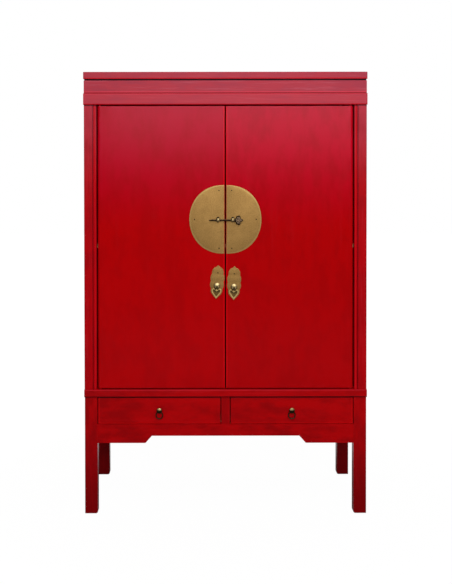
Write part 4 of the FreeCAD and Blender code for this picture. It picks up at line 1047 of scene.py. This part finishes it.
def drawer_ring(side):
    """A ring worn thinner where it hangs and left thick at its foot."""
    joint = Vector(JOINTS[side + "_ring_hinge"]["pos_m"])
    deselect()
    bpy.ops.mesh.primitive_torus_add(major_segments=72, minor_segments=20, major_radius=RING_RADIUS * MM,
                                     minor_radius=RING_WIRE * MM)
    piece = named(side + "_ring_pull")
    edit(piece)
    pick_corners(piece, lambda spot: spot.y > RING_RADIUS * WORN_ABOVE_SHARE * MM)
    bpy.ops.transform.resize(value=(1, WORN_SHARE, WORN_SHARE), center_override=(0, RING_RADIUS * MM, 0),
                             use_proportional_edit=True, proportional_edit_falloff="SMOOTH",
                             proportional_size=WORN_REACH * MM)
    leave_edit()
    put(piece, FACING_FRONT, at=(joint.x, joint.y, joint.z - RING_RADIUS * MM))
    smooth(piece, angle=60)
    return stand_for(piece, RING_BRONZE, side + "_ring", side + "_drawer_ring")


for side, sign in SIDES.items():
    lock_plate(side, sign)
    plate_nails(side, sign)
    lock_eye(side, sign)
    pull_plate(side)
    pull_boss(side)
    heart_pull(side)
    drawer_knob(side)
    drawer_ring(side)
lock_pin()


# Floor, light and camera


FLOOR_SIZE = 30
FLOOR_FADE = (0.9, 2.2)

# Each lamp's place, the point that it aims at, its width and height, and how bright its face is.
LAMPS = {
    "low_softbox": ((0.3, -5.3, 1.72), (0.1, -0.26, 1.6), 3.0, 0.3, 4.7),
    "middle_softbox": ((0.3, -5.3, 2.07), (0.1, -0.26, 1.7), 3.0, 0.4, 10.5),
    "high_softbox": ((0.3, -5.3, 2.52), (0.1, -0.26, 1.8), 3.0, 0.5, 15.5),
    "key_lamp": ((0.0, -3.2, 3.4), (-0.15, -0.26, 1.0), 2.2, 0.8, 8.0),
    "right_lamp": ((1.6, -1.9, 2.8), (0.45, -0.26, 1.7), 0.8, 0.6, 7.6),
    "high_fill": ((0.0, 0.9, 4.2), (0, 0.2, 1.0), 3.0, 2.4, 0.5),
}

CAMERA_PLACE = (-0.0918, -4.1826, 1.4881)
CAMERA_TURN = (89.178, 0.065, -0.057)
CAMERA_LENS = 57.18
CAMERA_SENSOR = 36
CAMERA_SHIFT = (0.0367, -0.1982)


def rays(finish):
    """Whether a ray comes from the camera, or from a mirror or glass."""
    names = ("Is Camera Ray", "Is Glossy Ray", "Is Transmission Ray")
    return [finish.node("LightPath", output=name) for name in names]


def studio_floor():
    """A pale floor that fades into white away from the cabinet and keeps its shadow near it."""
    deselect()
    bpy.ops.mesh.primitive_plane_add(size=FLOOR_SIZE, location=(0, 0, 0))
    floor = named("floor")
    finish = Finish("pale_floor")
    x, y = finish.axis("X"), finish.axis("Y")
    away = finish.step((x * x + y * y) ** 0.5, *FLOOR_FADE)
    seen, mirrored, through = rays(finish)
    behind = finish.step(y, 0.3, 0.8)
    veil = 0.94 + 0.06 * away
    white = finish.node("Clamp", {}, {0: seen * veil + mirrored * behind + through * behind})
    matt = finish.node("BsdfDiffuse", {}, {"Color": paint(0.42, 0.415, 0.41)})
    glow = finish.node("Emission", {}, {"Color": paint(1, 1, 1), "Strength": 1.04})
    both = finish.node("MixShader", {}, {0: white, 1: matt, 2: glow})
    finish.node("OutputMaterial", {}, {"Surface": both})
    floor.data.materials.append(finish.material)


def studio_world():
    """White to the camera; soft grey to the rest, darker in front of the cabinet."""
    world = bpy.data.worlds.new("studio")
    world.use_nodes = True
    bpy.context.scene.world = world
    finish = Finish("studio", world.node_tree)
    way = finish.node("TexCoord", output="Generated")
    y = finish.node("SeparateXYZ", {}, {0: way}, "Y")
    z = finish.node("SeparateXYZ", {}, {0: way}, "Z")
    seen, mirrored, through = rays(finish)
    behind = finish.step(y, 0.0, 0.4)
    fill = 0.2 + 0.16 * finish.step(z, -0.2, 0.9) + 0.5 * behind
    in_mirror = 0.06 + 0.94 * behind
    clear = finish.node("Clamp", {}, {0: seen + through})
    strength = clear + (1 - clear) * (mirrored * in_mirror + (1 - mirrored) * fill)
    sky = finish.node("Background", {}, {"Color": paint(1, 1, 1), "Strength": strength})
    finish.node("OutputWorld", {}, {"Surface": sky})


def softbox(name, place, aim, width, height, radiance):
    """A soft lamp that the camera doesn't see, set by how bright its face is."""
    deselect()
    bpy.ops.object.light_add(type="AREA", location=place)
    lamp = named(name)
    lamp.data.shape = "RECTANGLE"
    lamp.data.size = width
    lamp.data.size_y = height
    lamp.data.energy = radiance * math.pi * width * height
    lamp.rotation_euler = (Vector(aim) - Vector(place)).to_track_quat("-Z", "Y").to_euler()
    lamp.visible_camera = False


def studio_camera():
    """The photograph's point of view."""
    deselect()
    bpy.ops.object.camera_add(location=CAMERA_PLACE)
    camera = named("camera")
    camera.rotation_euler = [math.radians(angle) for angle in CAMERA_TURN]
    camera.data.lens = CAMERA_LENS
    camera.data.sensor_width = CAMERA_SENSOR
    camera.data.sensor_fit = "AUTO"
    camera.data.shift_x, camera.data.shift_y = CAMERA_SHIFT
    bpy.context.scene.camera = camera


studio_floor()
studio_world()
for name, settings in LAMPS.items():
    softbox(name, *settings)
studio_camera()
bpy.context.scene.view_settings.view_transform = "Standard"
